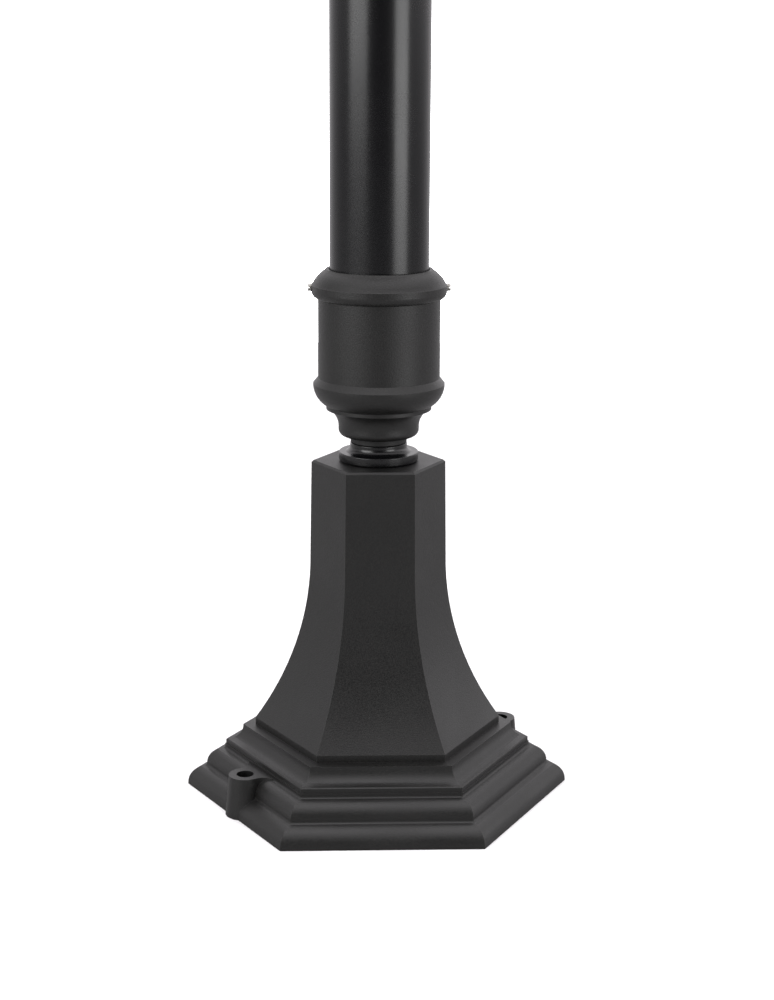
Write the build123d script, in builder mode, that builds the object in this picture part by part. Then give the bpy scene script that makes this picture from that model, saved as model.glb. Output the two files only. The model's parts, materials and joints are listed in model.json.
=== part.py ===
# A double-sided street clock on a post, in millimetres, +Z up.
# The origin is on the ground, on the axis of the post. The front dial faces -Y.
# A hexagonal flared foot carries a turned spool and a cup-shaped collar. Two set screws
# hold the post tube in the collar, and the same joint, upside down, carries the head.
from build123d import *
from math import acos, cos, pi, radians, sin, sqrt, tan
import os

# ---------------------------------------------------------------- driving dimensions
# Post tube
TUBE_RADIUS = 30.0
TUBE_WALL = 3.0
TUBE_LENGTH = 1310.0
SOCKET_GAP = 0.4

# Foot casting. Widths are apothems: distances from the axis to a flat of the hexagon.
PLINTH_APOTHEM = 104.6
LIP_HEIGHT = 1.2
LOWER_STEP_REACH = 10.6
LOWER_ROUND = 11.5
LOWER_HOLLOW = 2.0
UPPER_STEP_REACH = 10.1
UPPER_ROUND = 10.0
UPPER_HOLLOW = 1.5
LOWER_RISER = 1.6
RISER_LEDGE = 0.6
UPPER_RISER = 2.6
RISER_EDGE = 0.6
CAVETTO = 8.9
CAVETTO_LIP = 0.7
PLINTH_LEDGE = 6.8
FLARE_LIP = 4.4
FLARE_HEIGHT = 106.4
NECK_APOTHEM = 36.5
NECK_TAPER = 0.8
NECK_HEIGHT = 61.0
NECK_EDGE = 1.2
CASTING_WALL = 10.0
TOP_PLATE = 12.0

# Anchor ears on two opposite flats of the plinth
ANCHOR_PCD = 190.6
ANCHOR_HOLE_RADIUS = 5.25
EAR_RADIUS = 10.0
EAR_DRAFT = 2.4
EAR_HEIGHT = 25.6
EAR_FLARE = 9.0
EAR_ROOT = 12.0
EAR_TURNS = (30.0, 210.0)

# Hollow stud with its nuts and washers, and the turned spool and ring between castings
STUD_RADIUS = 10.0
STUD_BORE_RADIUS = 7.0
STUD_PROUD = 3.0
STUD_GAP = 0.25
STUD_CHAMFER = 0.5
NUT_ACROSS_FLATS = 30.0
NUT_HEIGHT = 9.0
WASHER_RADIUS = 18.5
WASHER_HEIGHT = 2.0
SPOOL_FLANGE_RADIUS = 24.3
SPOOL_FLANGE_HEIGHT = 5.8
SPOOL_EDGE = 1.4
SPOOL_SHOULDER_RADIUS = 20.5
SPOOL_WAIST_RADIUS = 17.4
SPOOL_CURVE_HEIGHT = 4.1
SPOOL_HEIGHT = 11.5
RING_RADIUS = 17.2
RING_HEIGHT = 4.1
RING_EDGE = 0.6
SWIVEL_GAP = 0.1
SWIVEL_BORE_GAP = 0.05
GROMMET_WALL = 2.0
GROMMET_FLANGE = 2.5
GROMMET_DEPTH = 8.0
GROMMET_STEM_GAP = 0.5
GROMMET_EDGE = 0.8

# Collar: widths are radii, and each rise is measured from the moulding under it
COLLAR_WALL = 6.6
CUP_FLOOR = 10.3
CUP_WELL_RADIUS = 20.5
SOCKET_FLOOR = 26.3
CUP_RADIUS = 24.6
CUP_EDGE = 4.0
CUP_RISE = 1.8
COVE_REACH = 6.2
COVE_RISE = 10.8
STEP_REACH = 1.3
STEP_RISE = 2.2
LOWER_BEAD_REACH = 3.1
LOWER_BEAD_RISE = 13.5
LOWER_BEAD_FALL = 3.8
BARREL_RISE = 48.0
UPPER_BEAD_REACH = 3.9
UPPER_BEAD_RISE = 4.6
UPPER_BEAD_BAND = 3.6
UPPER_BEAD_FALL = 0.6
RIM_REACH = 2.9
RIM_RISE = 7.9
RIM_BULGE = 0.5
RIM_EDGE = 1.0

# Set screws
SCREW_RADIUS = 2.5
SCREW_PROUD = 2.4
SCREW_SLOT_WIDTH = 0.9
SCREW_SLOT_DEPTH = 1.3
SCREW_POINT = 0.8
SCREW_TIP_GAP = 0.05
SCREW_THREAD_GAP = 0.08

# Clock head: a drum on a level axis along Y, with a dial at each end
DRUM_RADIUS = 172.0
DRUM_WALL = 3.0
DRUM_HALF_DEPTH = 50.0
BOSS_RADIUS = 22.0
BOSS_HEIGHT = 5.0
SADDLE_PLATE_RADIUS = 30.0
SADDLE_PLATE_HEIGHT = 8.0
SADDLE_CLEAR = 6.0
SADDLE_WIDTH = 84.0
SADDLE_DEPTH = 70.0
SADDLE_CORNER = 16.0
DIAL_THICKNESS = 2.0
DIAL_DEPTH = 40.0
DIAL_GAP = 0.5
RIM_RING_WIDTH = 12.0
RIM_RING_THICKNESS = 3.0

# Finial
FINIAL_BASE_RADIUS = 22.0
FINIAL_BASE_HEIGHT = 6.0
FINIAL_NECK_RADIUS = 8.0
FINIAL_NECK_HEIGHT = 12.0
FINIAL_BALL_RADIUS = 17.0
FINIAL_TIP_HEIGHT = 16.0
FINIAL_TIP_RADIUS = 2.0
FINIAL_STUD_RADIUS = 4.0
FINIAL_STUD_GAP = 0.25
FINIAL_NUT_ACROSS_FLATS = 13.0
FINIAL_NUT_HEIGHT = 6.5

# Bezel doors: ring, gasket, glass, hinge and lock
BEZEL_GAP = 0.5
BEZEL_OVERHANG = 4.0
BEZEL_DEPTH = 14.0
BEZEL_RIM = 13.0
BEZEL_LIP_WIDTH = 12.0
BEZEL_LIP_THICKNESS = 4.0
BEZEL_ROUND = 5.0
GASKET_WALL = 1.6
GASKET_REACH = 8.0
GLASS_THICKNESS = 3.0
HINGE_RADIUS = 4.5
HINGE_PIN_RADIUS = 2.0
HINGE_PIN_GAP = 0.06
HINGE_OFFSET = 5.2
HINGE_MIDDLE = 20.0
HINGE_END = 12.0
HINGE_SLIT = 0.5
LOCK_TAB_HALF = 8.0
LOCK_TAB_REACH = 15.0
LOCK_TAB_THICKNESS = 4.5
LOCK_LUG_DEPTH = 9.0
LOCK_SHANK_RADIUS = 2.5
LOCK_SHANK_GAP = 0.08
LOCK_LUG_GAP = 0.35
LOCK_HEAD_RADIUS = 6.0
LOCK_HEAD_HEIGHT = 5.0
LOCK_HEAD_GAP = 0.1
LOCK_HEAD_EDGE = 0.8
LOCK_SLOT_WIDTH = 1.4
LOCK_SLOT_DEPTH = 1.6
LOCK_REACH = 6.0

# Movement and motion work; depths count outwards from the middle of the drum
GEAR_MODULE = 1.0
PRESSURE_ANGLE = 20.0
GEAR_ADDENDUM = 0.75
GEAR_DEDENDUM = 1.0
GEAR_BACKLASH = 0.2
GEAR_FLANK_STEPS = 3
CANNON_TEETH = 15
MINUTE_WHEEL_TEETH = 45
MINUTE_PINION_TEETH = 12
HOUR_WHEEL_TEETH = 48
GEAR_THICKNESS = 2.5
GEAR_GAP = 1.0
PLATE_THICKNESS = 3.0
PLATE_MARGIN = 8.0
PILLAR_RADIUS = 3.5
PILLAR_INSET = 7.0
PILLAR_COUNT = 3
PILLAR_START = 30.0
RUNNING_GAP = 0.05
BUSH_WALL = 2.0
BUSH_FLANGE_RADIUS = 9.0
BUSH_FLANGE_THICKNESS = 1.5
BUSH_PROUD = 4.5
BUSH_NUT_ACROSS_FLATS = 17.0
BUSH_NUT_HEIGHT = 2.5
HOUR_PIPE_RADIUS = 5.0
ARBOR_RADIUS = 3.0
WHEEL_POST_RADIUS = 2.0
MOTOR_RADIUS = 25.0
MOTOR_LENGTH = 18.0
MOTOR_WELL = 2.0

# Hands
HAND_THICKNESS = 1.5
HAND_SPACE = 2.2
HAND_STEM_WIDTH = 6.0
HAND_TIP_WIDTH = 1.6
HAND_HUB_RADIUS = 10.0
HAND_SWELL = 0.62
HOUR_HAND_LENGTH = 90.0
HOUR_HAND_WIDTH = 20.0
MINUTE_HAND_LENGTH = 130.0
MINUTE_HAND_WIDTH = 13.0
HAND_TAIL = 32.0
HAND_NUT_RADIUS = 5.5
HAND_NUT_HEIGHT = 2.4
HOUR_HAND_ANGLE = 305.0
MINUTE_HAND_ANGLE = 60.0

# Small fasteners and the terminal block
EARTH_SCREW_RADIUS = 3.0
EARTH_SCREW_LENGTH = 8.0
EARTH_HEAD_RADIUS = 5.5
EARTH_HEAD_HEIGHT = 4.0
EARTH_HEAD_EDGE = 0.4
EARTH_SCREW_HEIGHT = 172.0
EARTH_BOSS_RADIUS = 8.0
EARTH_BOSS_REACH = 3.0
DIAL_SCREW_RADIUS = 1.5
DIAL_SCREW_HEAD_RADIUS = 3.0
DIAL_SCREW_HEAD_HEIGHT = 1.6
DIAL_SCREW_HEAD_EDGE = 0.8
DIAL_SCREW_COUNT = 6
TERMINAL_WIDTH = 42.0
TERMINAL_HEIGHT = 16.0
TERMINAL_DEPTH = 12.0
TERMINAL_WAYS = 4
TERMINAL_HOLE_RADIUS = 2.6
TERMINAL_DROP = 40.0

# ---------------------------------------------------------------- derived places
LOWER_STEP_RISE = sqrt(LOWER_STEP_REACH * (2 * (LOWER_ROUND + LOWER_HOLLOW) - LOWER_STEP_REACH))
UPPER_STEP_RISE = sqrt(UPPER_STEP_REACH * (2 * (UPPER_ROUND + UPPER_HOLLOW) - UPPER_STEP_REACH))
STEP_2_APOTHEM = PLINTH_APOTHEM - LOWER_STEP_REACH
STEP_2_BASE = LIP_HEIGHT + LOWER_STEP_RISE
STEP_3_APOTHEM = STEP_2_APOTHEM - UPPER_STEP_REACH
STEP_3_BASE = STEP_2_BASE + UPPER_STEP_RISE
RISER_LEDGE_LEVEL = STEP_3_BASE + LOWER_RISER
RISER_APOTHEM = STEP_3_APOTHEM - RISER_LEDGE
RISER_TOP = RISER_LEDGE_LEVEL + UPPER_RISER
CAVETTO_BASE = RISER_TOP + RISER_EDGE
CAVETTO_APOTHEM = RISER_APOTHEM - RISER_EDGE - CAVETTO
PLINTH_TOP = CAVETTO_BASE + CAVETTO + CAVETTO_LIP
FLARE_APOTHEM = CAVETTO_APOTHEM - PLINTH_LEDGE
FLARE_BASE = PLINTH_TOP + FLARE_LIP
FLARE_TOP = FLARE_BASE + FLARE_HEIGHT
FOOT_TOP = FLARE_TOP + NECK_HEIGHT
NECK_TOP_APOTHEM = NECK_APOTHEM - NECK_TAPER
FOOT_CEILING = FOOT_TOP - TOP_PLATE
EAR_DISTANCE = ANCHOR_PCD / 2

JOINT_HEIGHT = SPOOL_HEIGHT + RING_HEIGHT + SWIVEL_GAP
COLLAR_BASE = FOOT_TOP + JOINT_HEIGHT
SOCKET_RADIUS = TUBE_RADIUS + SOCKET_GAP
COLLAR_RADIUS = SOCKET_RADIUS + COLLAR_WALL
COVE_BASE = CUP_EDGE + CUP_RISE
STEP_BASE = COVE_BASE + COVE_RISE
LOWER_BEAD_BASE = STEP_BASE + STEP_RISE
LOWER_BEAD_MIDDLE = LOWER_BEAD_BASE + LOWER_BEAD_RISE
BARREL_BASE = LOWER_BEAD_MIDDLE + LOWER_BEAD_FALL
BARREL_TOP = BARREL_BASE + BARREL_RISE
BAND_BASE = BARREL_TOP + UPPER_BEAD_RISE
BAND_TOP = BAND_BASE + UPPER_BEAD_BAND
SCREW_LEVEL = (BAND_BASE + BAND_TOP) / 2
RIM_BASE = BAND_TOP + UPPER_BEAD_FALL
RIM_TOP = RIM_BASE + RIM_RISE
COLLAR_HEIGHT = RIM_TOP + RIM_EDGE
BAND_RADIUS = COLLAR_RADIUS + UPPER_BEAD_REACH
RIM_RADIUS = SOCKET_RADIUS + RIM_REACH

TUBE_BASE = COLLAR_BASE + SOCKET_FLOOR
TUBE_TOP = TUBE_BASE + TUBE_LENGTH
UPPER_COLLAR_TOP = TUBE_TOP + SOCKET_FLOOR
SADDLE_BASE = UPPER_COLLAR_TOP + JOINT_HEIGHT
DRUM_CENTRE = SADDLE_BASE + SADDLE_PLATE_HEIGHT + SADDLE_CLEAR + DRUM_RADIUS
DRUM_INNER = DRUM_RADIUS - DRUM_WALL
BOSS_LEVEL = DRUM_INNER - BOSS_HEIGHT

DIAL_RADIUS = DRUM_INNER - DIAL_GAP
DIAL_BACK = DIAL_DEPTH - DIAL_THICKNESS
RIM_RING_RADIUS = DRUM_INNER - RIM_RING_WIDTH
BEZEL_BACK = DRUM_HALF_DEPTH + BEZEL_GAP
BEZEL_FRONT = BEZEL_BACK + BEZEL_DEPTH
BEZEL_RADIUS = DRUM_RADIUS + BEZEL_OVERHANG
GASKET_RADIUS = BEZEL_RADIUS - BEZEL_RIM
GASKET_FRONT = BEZEL_FRONT - BEZEL_LIP_THICKNESS
GLASS_RADIUS = GASKET_RADIUS - GASKET_WALL
GLASS_BACK = GASKET_FRONT - GASKET_WALL - GLASS_THICKNESS
GASKET_BACK = GLASS_BACK - GASKET_WALL
WINDOW_RADIUS = GASKET_RADIUS - BEZEL_LIP_WIDTH
HINGE_PLACE = -(BEZEL_RADIUS + HINGE_OFFSET)
HINGE_DEPTH = DRUM_HALF_DEPTH + BEZEL_GAP / 2
LOCK_PLACE = BEZEL_RADIUS + LOCK_TAB_REACH - LOCK_TAB_HALF
LOCK_TAB_FRONT = BEZEL_BACK + LOCK_TAB_THICKNESS

MOTION_CENTRES = GEAR_MODULE * (CANNON_TEETH + MINUTE_WHEEL_TEETH) / 2
BUSH_FLANGE_BACK = DIAL_BACK - BUSH_FLANGE_THICKNESS
HOUR_WHEEL_BACK = BUSH_FLANGE_BACK - GEAR_GAP / 2 - GEAR_THICKNESS
MINUTE_WHEEL_BACK = HOUR_WHEEL_BACK - GEAR_GAP - GEAR_THICKNESS
PLATE_FRONT = MINUTE_WHEEL_BACK - GEAR_GAP
PLATE_BACK = PLATE_FRONT - PLATE_THICKNESS
WHEEL_RIM = GEAR_MODULE * (MINUTE_WHEEL_TEETH / 2 + GEAR_ADDENDUM)
PLATE_RADIUS = MOTION_CENTRES + WHEEL_RIM + PLATE_MARGIN
PILLAR_DISTANCE = PLATE_RADIUS - PILLAR_INSET
BUSH_BORE_RADIUS = HOUR_PIPE_RADIUS + RUNNING_GAP
BUSH_RADIUS = BUSH_BORE_RADIUS + BUSH_WALL
BUSH_FRONT = DIAL_DEPTH + BUSH_PROUD
HOUR_HAND_BACK = BUSH_FRONT + GEAR_GAP / 2
HOUR_PIPE_FRONT = HOUR_HAND_BACK + HAND_THICKNESS
MINUTE_HAND_BACK = HOUR_PIPE_FRONT + HAND_SPACE
MINUTE_HAND_FRONT = MINUTE_HAND_BACK + HAND_THICKNESS
ARBOR_FRONT = MINUTE_HAND_FRONT + HAND_NUT_HEIGHT

SIDES = {"front": -1, "rear": 1}


# ---------------------------------------------------------------- shared helpers
def save(part, name):
    """Label one finished piece and write it as a STEP file named after its node."""
    part.label = name
    export_step(part, f"parts/{name}.step")


def upright_plane(turn):
    """A plane that stands on the Z axis and looks along a level line turned from +X."""
    angle = radians(turn)
    return Plane(
        origin=(0, 0, 0), x_dir=(cos(angle), sin(angle), 0), z_dir=(sin(angle), -cos(angle), 0)
    )


def face_plane(side, depth, turn=0):
    """A plane parallel to one dial: its X points right, its Y up, and Z out of the drum.

    A positive turn swings it clockwise, as the hands go."""
    angle = radians(turn)
    return Plane(
        origin=(0, side * depth, DRUM_CENTRE),
        x_dir=(-side * cos(angle), 0, -sin(angle)),
        z_dir=(0, side, 0),
    )


def drum_space():
    """The solid cylinder that the drum fills, for cutting what seats on its outside."""
    with BuildPart() as space:
        with BuildSketch(face_plane(1, 0)):
            Circle(DRUM_RADIUS)
        extrude(amount=2 * DRUM_HALF_DEPTH, both=True)
    return space.part


def flare_apothem(height):
    """Apothem of the flare at a height: a hollow arc that meets the neck upright."""
    spread = FLARE_APOTHEM - NECK_APOTHEM
    arc_radius = (FLARE_HEIGHT**2 + spread**2) / (2 * spread)
    drop = FLARE_TOP - height
    return NECK_APOTHEM + arc_radius - sqrt(arc_radius**2 - drop**2)


def hexagonal_solid(draw_profile):
    """A solid whose level sections are regular hexagons: three crossed slabs.

    draw_profile draws the right half of the slab's outline, closed along the axis."""
    with BuildPart() as hexagon:
        for turn in (30, 90, 150):
            with BuildSketch(upright_plane(turn)):
                with BuildLine():
                    draw_profile()
                make_face()
                mirror(about=Plane.YZ)
            crossing = Mode.ADD if turn == 30 else Mode.INTERSECT
            extrude(amount=2 * PLINTH_APOTHEM, both=True, mode=crossing)
    return hexagon.part


def moved_copy(part, location):
    """The same piece at another place."""
    with BuildPart() as copy:
        with Locations(location):
            add(part)
    return copy.part


# ---------------------------------------------------------------- foot casting
def stepped_wave(outer, base, reach, rise, rounding, hollow):
    """A round and the hollow above it, upright at both ends, that run back by reach."""
    share = rounding / (rounding + hollow)
    meeting = (
        outer - rounding + share * (rounding + hollow - reach),
        base + share * rise,
    )
    TangentArc((outer, base), meeting, tangent=(0, 1))
    TangentArc((outer - reach, base + rise), meeting, tangent=(0, -1))


def outer_profile():
    """Half section of the foot through the middle of two flats: plinth, flare and neck."""
    mid_flare = FLARE_BASE + FLARE_HEIGHT / 2
    Polyline((0, 0), (PLINTH_APOTHEM, 0), (PLINTH_APOTHEM, LIP_HEIGHT))
    stepped_wave(
        PLINTH_APOTHEM, LIP_HEIGHT, LOWER_STEP_REACH, LOWER_STEP_RISE, LOWER_ROUND, LOWER_HOLLOW
    )
    stepped_wave(
        STEP_2_APOTHEM, STEP_2_BASE, UPPER_STEP_REACH, UPPER_STEP_RISE, UPPER_ROUND, UPPER_HOLLOW
    )
    Polyline(
        (STEP_3_APOTHEM, STEP_3_BASE),
        (STEP_3_APOTHEM, RISER_LEDGE_LEVEL),
        (RISER_APOTHEM, RISER_LEDGE_LEVEL),
        (RISER_APOTHEM, RISER_TOP),
        (RISER_APOTHEM - RISER_EDGE, CAVETTO_BASE),
    )
    CenterArc((RISER_APOTHEM - RISER_EDGE, CAVETTO_BASE + CAVETTO), CAVETTO, 180, 90)
    Polyline(
        (CAVETTO_APOTHEM, CAVETTO_BASE + CAVETTO),
        (CAVETTO_APOTHEM, PLINTH_TOP),
        (FLARE_APOTHEM, PLINTH_TOP),
        (FLARE_APOTHEM, FLARE_BASE),
    )
    ThreePointArc(
        (FLARE_APOTHEM, FLARE_BASE),
        (flare_apothem(mid_flare), mid_flare),
        (NECK_APOTHEM, FLARE_TOP),
    )
    Polyline(
        (NECK_APOTHEM, FLARE_TOP),
        (NECK_TOP_APOTHEM, FOOT_TOP - NECK_EDGE),
        (NECK_TOP_APOTHEM - NECK_EDGE, FOOT_TOP),
        (0, FOOT_TOP),
        (0, 0),
    )


def cavity_profile():
    """Half section of the hollow inside the foot, open at the ground."""
    mid_flare = FLARE_BASE + FLARE_HEIGHT / 2
    Polyline(
        (0, 0),
        (PLINTH_APOTHEM - CASTING_WALL, 0),
        (FLARE_APOTHEM - CASTING_WALL, FLARE_BASE),
    )
    ThreePointArc(
        (FLARE_APOTHEM - CASTING_WALL, FLARE_BASE),
        (flare_apothem(mid_flare) - CASTING_WALL, mid_flare),
        (NECK_APOTHEM - CASTING_WALL, FLARE_TOP),
    )
    Polyline(
        (NECK_APOTHEM - CASTING_WALL, FLARE_TOP),
        (NECK_TOP_APOTHEM - CASTING_WALL, FOOT_CEILING),
        (0, FOOT_CEILING),
        (0, 0),
    )


def base_casting():
    """The foot: moulded plinth, flared body, anchor ears and an earth boss in one casting."""
    earth_face = NECK_APOTHEM - CASTING_WALL - EARTH_BOSS_REACH
    body = hexagonal_solid(outer_profile)
    hollow = hexagonal_solid(cavity_profile)
    with BuildPart() as casting:
        add(body)
        add(hollow, mode=Mode.SUBTRACT)
        for turn in EAR_TURNS:
            ear_plane = Plane.XY.rotated((0, 0, turn))
            with BuildSketch(ear_plane):
                with BuildLine():
                    Polyline(
                        (STEP_3_APOTHEM - EAR_ROOT, 0),
                        (STEP_3_APOTHEM - EAR_ROOT, EAR_RADIUS + EAR_FLARE),
                        (STEP_3_APOTHEM, EAR_RADIUS + EAR_FLARE),
                    )
                    CenterArc(
                        (STEP_3_APOTHEM + EAR_FLARE, EAR_RADIUS + EAR_FLARE), EAR_FLARE, 180, 90
                    )
                    Line((STEP_3_APOTHEM + EAR_FLARE, EAR_RADIUS), (EAR_DISTANCE, EAR_RADIUS))
                    CenterArc((EAR_DISTANCE, 0), EAR_RADIUS, 0, 90)
                    Line((EAR_DISTANCE + EAR_RADIUS, 0), (STEP_3_APOTHEM - EAR_ROOT, 0))
                make_face()
                mirror(about=Plane.XZ)
            extrude(amount=EAR_HEIGHT)
            with Locations(ear_plane.offset(EAR_HEIGHT / 2)):
                with Locations((EAR_DISTANCE, 0)):
                    Cone(EAR_RADIUS + EAR_DRAFT, EAR_RADIUS, EAR_HEIGHT)
        with BuildSketch():
            with PolarLocations(EAR_DISTANCE, len(EAR_TURNS), start_angle=EAR_TURNS[0]):
                Circle(ANCHOR_HOLE_RADIUS)
        extrude(amount=EAR_HEIGHT, mode=Mode.SUBTRACT)
        with Locations(Plane.XY.offset(FOOT_TOP)):
            Hole(STUD_RADIUS + STUD_GAP, depth=TOP_PLATE)
        with BuildSketch(Plane.XZ.offset(-NECK_APOTHEM + CASTING_WALL / 2)):
            with Locations((0, EARTH_SCREW_HEIGHT)):
                Circle(EARTH_BOSS_RADIUS)
        extrude(amount=CASTING_WALL / 2 + EARTH_BOSS_REACH)
        with BuildSketch(Plane.XZ.offset(-earth_face)):
            with Locations((0, EARTH_SCREW_HEIGHT)):
                Circle(EARTH_SCREW_RADIUS)
        extrude(amount=-EARTH_SCREW_LENGTH, mode=Mode.SUBTRACT)
    return casting.part


def earth_screw():
    """Earth terminal screw on the boss inside the neck, its head towards the axis."""
    earth_face = NECK_APOTHEM - CASTING_WALL - EARTH_BOSS_REACH
    with BuildPart() as screw:
        with BuildSketch(Plane.XZ.offset(-earth_face)):
            with Locations((0, EARTH_SCREW_HEIGHT)):
                Circle(EARTH_SCREW_RADIUS)
        extrude(amount=-EARTH_SCREW_LENGTH)
        with BuildSketch(Plane.XZ.offset(-earth_face)):
            with Locations((0, EARTH_SCREW_HEIGHT)):
                Circle(EARTH_HEAD_RADIUS)
        extrude(amount=EARTH_HEAD_HEIGHT)
        with BuildSketch(Plane.XZ.offset(EARTH_HEAD_HEIGHT - earth_face)):
            with Locations((0, EARTH_SCREW_HEIGHT)):
                Rectangle(2 * EARTH_HEAD_RADIUS, SCREW_SLOT_WIDTH)
        extrude(amount=-SCREW_SLOT_DEPTH, mode=Mode.SUBTRACT)
        fillet(screw.edges().filter_by(GeomType.CIRCLE).sort_by(Axis.Y)[:1], EARTH_HEAD_EDGE)
    return screw.part


# ---------------------------------------------------------------- stud joints
def stud(low, high):
    """Hollow threaded stud that clamps everything from low to high and carries the cable."""
    overhang = WASHER_HEIGHT + NUT_HEIGHT + STUD_PROUD
    with BuildPart() as pipe:
        with BuildSketch(Plane.XY.offset(low - overhang)):
            Circle(STUD_RADIUS)
            Circle(STUD_BORE_RADIUS, mode=Mode.SUBTRACT)
        extrude(amount=high - low + 2 * overhang)
        chamfer(pipe.edges().filter_by(GeomType.CIRCLE), STUD_CHAMFER)
    return pipe.part


def stud_washers(low, high):
    """The two washers against the clamped faces."""
    with BuildPart() as washers:
        for level in (low - WASHER_HEIGHT, high):
            with BuildSketch(Plane.XY.offset(level)):
                Circle(WASHER_RADIUS)
                Circle(STUD_RADIUS + STUD_GAP, mode=Mode.SUBTRACT)
            extrude(amount=WASHER_HEIGHT)
    return washers.part


def stud_nuts(low, high):
    """The two hexagon nuts on the stud, each outside its washer."""
    with BuildPart() as nuts:
        for level in (low - WASHER_HEIGHT - NUT_HEIGHT, high + WASHER_HEIGHT):
            with BuildSketch(Plane.XY.offset(level)):
                RegularPolygon(NUT_ACROSS_FLATS / 2, 6, major_radius=False)
                Circle(STUD_RADIUS, mode=Mode.SUBTRACT)
            extrude(amount=NUT_HEIGHT)
    return nuts.part


def spool():
    """Turned spacer between a flat face and a collar's cup, flange down."""
    with BuildPart() as spacer:
        with BuildSketch(Plane.XZ):
            with BuildLine():
                Polyline(
                    (SPOOL_SHOULDER_RADIUS, SPOOL_FLANGE_HEIGHT),
                    (SPOOL_FLANGE_RADIUS, SPOOL_FLANGE_HEIGHT),
                    (SPOOL_FLANGE_RADIUS, 0),
                    (STUD_RADIUS + STUD_GAP, 0),
                    (STUD_RADIUS + STUD_GAP, SPOOL_HEIGHT),
                    (SPOOL_WAIST_RADIUS, SPOOL_HEIGHT),
                    (SPOOL_WAIST_RADIUS, SPOOL_FLANGE_HEIGHT + SPOOL_CURVE_HEIGHT),
                )
                TangentArc(
                    (SPOOL_WAIST_RADIUS, SPOOL_FLANGE_HEIGHT + SPOOL_CURVE_HEIGHT),
                    (SPOOL_SHOULDER_RADIUS, SPOOL_FLANGE_HEIGHT),
                    tangent=(0, -1),
                )
            make_face()
        revolve(axis=Axis.Z)
        fillet(spacer.edges().sort_by(SortBy.LENGTH)[-1:].sort_by(Axis.Z)[-1:], SPOOL_EDGE)
    return spacer.part


def swivel_ring():
    """Plastic ring that the collar turns on."""
    with BuildPart() as ring:
        with BuildSketch():
            Circle(RING_RADIUS)
        extrude(amount=RING_HEIGHT)
        chamfer(ring.edges(), RING_EDGE)
        with BuildSketch():
            Circle(STUD_RADIUS + STUD_GAP)
        extrude(amount=RING_HEIGHT, mode=Mode.SUBTRACT)
    return ring.part


def cable_grommet(stud_end):
    """Rubber bush in the stud's lower mouth: the inlet for the supply cable."""
    with BuildPart() as grommet:
        with BuildSketch(Plane.XY.offset(stud_end - GROMMET_FLANGE)):
            Circle(STUD_RADIUS)
        extrude(amount=GROMMET_FLANGE)
        with BuildSketch(Plane.XY.offset(stud_end)):
            Circle(STUD_BORE_RADIUS - GROMMET_STEM_GAP)
        extrude(amount=GROMMET_DEPTH)
        with BuildSketch(Plane.XY.offset(stud_end - GROMMET_FLANGE)):
            Circle(STUD_BORE_RADIUS - GROMMET_WALL)
        extrude(amount=GROMMET_FLANGE + GROMMET_DEPTH, mode=Mode.SUBTRACT)
        outer_edge = grommet.edges().filter_by(GeomType.CIRCLE).group_by(Axis.Z)[0]
        fillet(outer_edge.sort_by(SortBy.LENGTH)[-1:], GROMMET_EDGE)
    return grommet.part


# ---------------------------------------------------------------- collar and tube
def collar_profile():
    """Half section of the collar's outside, from the cup's bottom face up to the rim."""
    cove_radius = CUP_RADIUS + COVE_REACH
    step_radius = cove_radius + STEP_REACH
    lower_bead_radius = COLLAR_RADIUS + LOWER_BEAD_REACH
    Line((0, 0), (CUP_RADIUS - CUP_EDGE, 0))
    CenterArc((CUP_RADIUS - CUP_EDGE, CUP_EDGE), CUP_EDGE, -90, 90)
    Line((CUP_RADIUS, CUP_EDGE), (CUP_RADIUS, COVE_BASE))
    TangentArc((CUP_RADIUS, COVE_BASE), (cove_radius, STEP_BASE), tangent=(0, 1))
    Polyline((cove_radius, STEP_BASE), (step_radius, STEP_BASE), (step_radius, LOWER_BEAD_BASE))
    TangentArc(
        (lower_bead_radius, LOWER_BEAD_MIDDLE), (step_radius, LOWER_BEAD_BASE), tangent=(0, -1)
    )
    Polyline(
        (lower_bead_radius, LOWER_BEAD_MIDDLE),
        (COLLAR_RADIUS, BARREL_BASE),
        (COLLAR_RADIUS, BARREL_TOP),
    )
    TangentArc((BAND_RADIUS, BAND_BASE), (COLLAR_RADIUS, BARREL_TOP), tangent=(0, -1))
    Polyline(
        (BAND_RADIUS, BAND_BASE),
        (BAND_RADIUS, BAND_TOP),
        (BAND_RADIUS - UPPER_BEAD_FALL, RIM_BASE),
    )
    cone_foot = BAND_RADIUS - UPPER_BEAD_FALL
    ThreePointArc(
        (cone_foot, RIM_BASE),
        ((cone_foot + RIM_RADIUS) / 2 + RIM_BULGE, (RIM_BASE + RIM_TOP) / 2 + RIM_BULGE),
        (RIM_RADIUS, RIM_TOP),
    )
    Polyline(
        (RIM_RADIUS, RIM_TOP),
        (RIM_RADIUS - RIM_EDGE, COLLAR_HEIGHT),
        (0, COLLAR_HEIGHT),
        (0, 0),
    )


def collar():
    """Cup-shaped collar at the origin: a well for the nut below a socket for the tube."""
    with BuildPart() as cup:
        with BuildSketch(Plane.XZ):
            with BuildLine():
                collar_profile()
            make_face()
        revolve(axis=Axis.Z)
        with Locations(Plane.XY.offset(COLLAR_HEIGHT)):
            Hole(SOCKET_RADIUS, depth=COLLAR_HEIGHT - SOCKET_FLOOR)
            Hole(CUP_WELL_RADIUS, depth=COLLAR_HEIGHT - CUP_FLOOR)
            Hole(STUD_RADIUS + SWIVEL_BORE_GAP, depth=COLLAR_HEIGHT)
        with BuildSketch(Plane.YZ):
            with Locations((0, SCREW_LEVEL)):
                Circle(SCREW_RADIUS + SCREW_THREAD_GAP)
        extrude(amount=2 * COLLAR_RADIUS, both=True, mode=Mode.SUBTRACT)
    return cup.part


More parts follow.
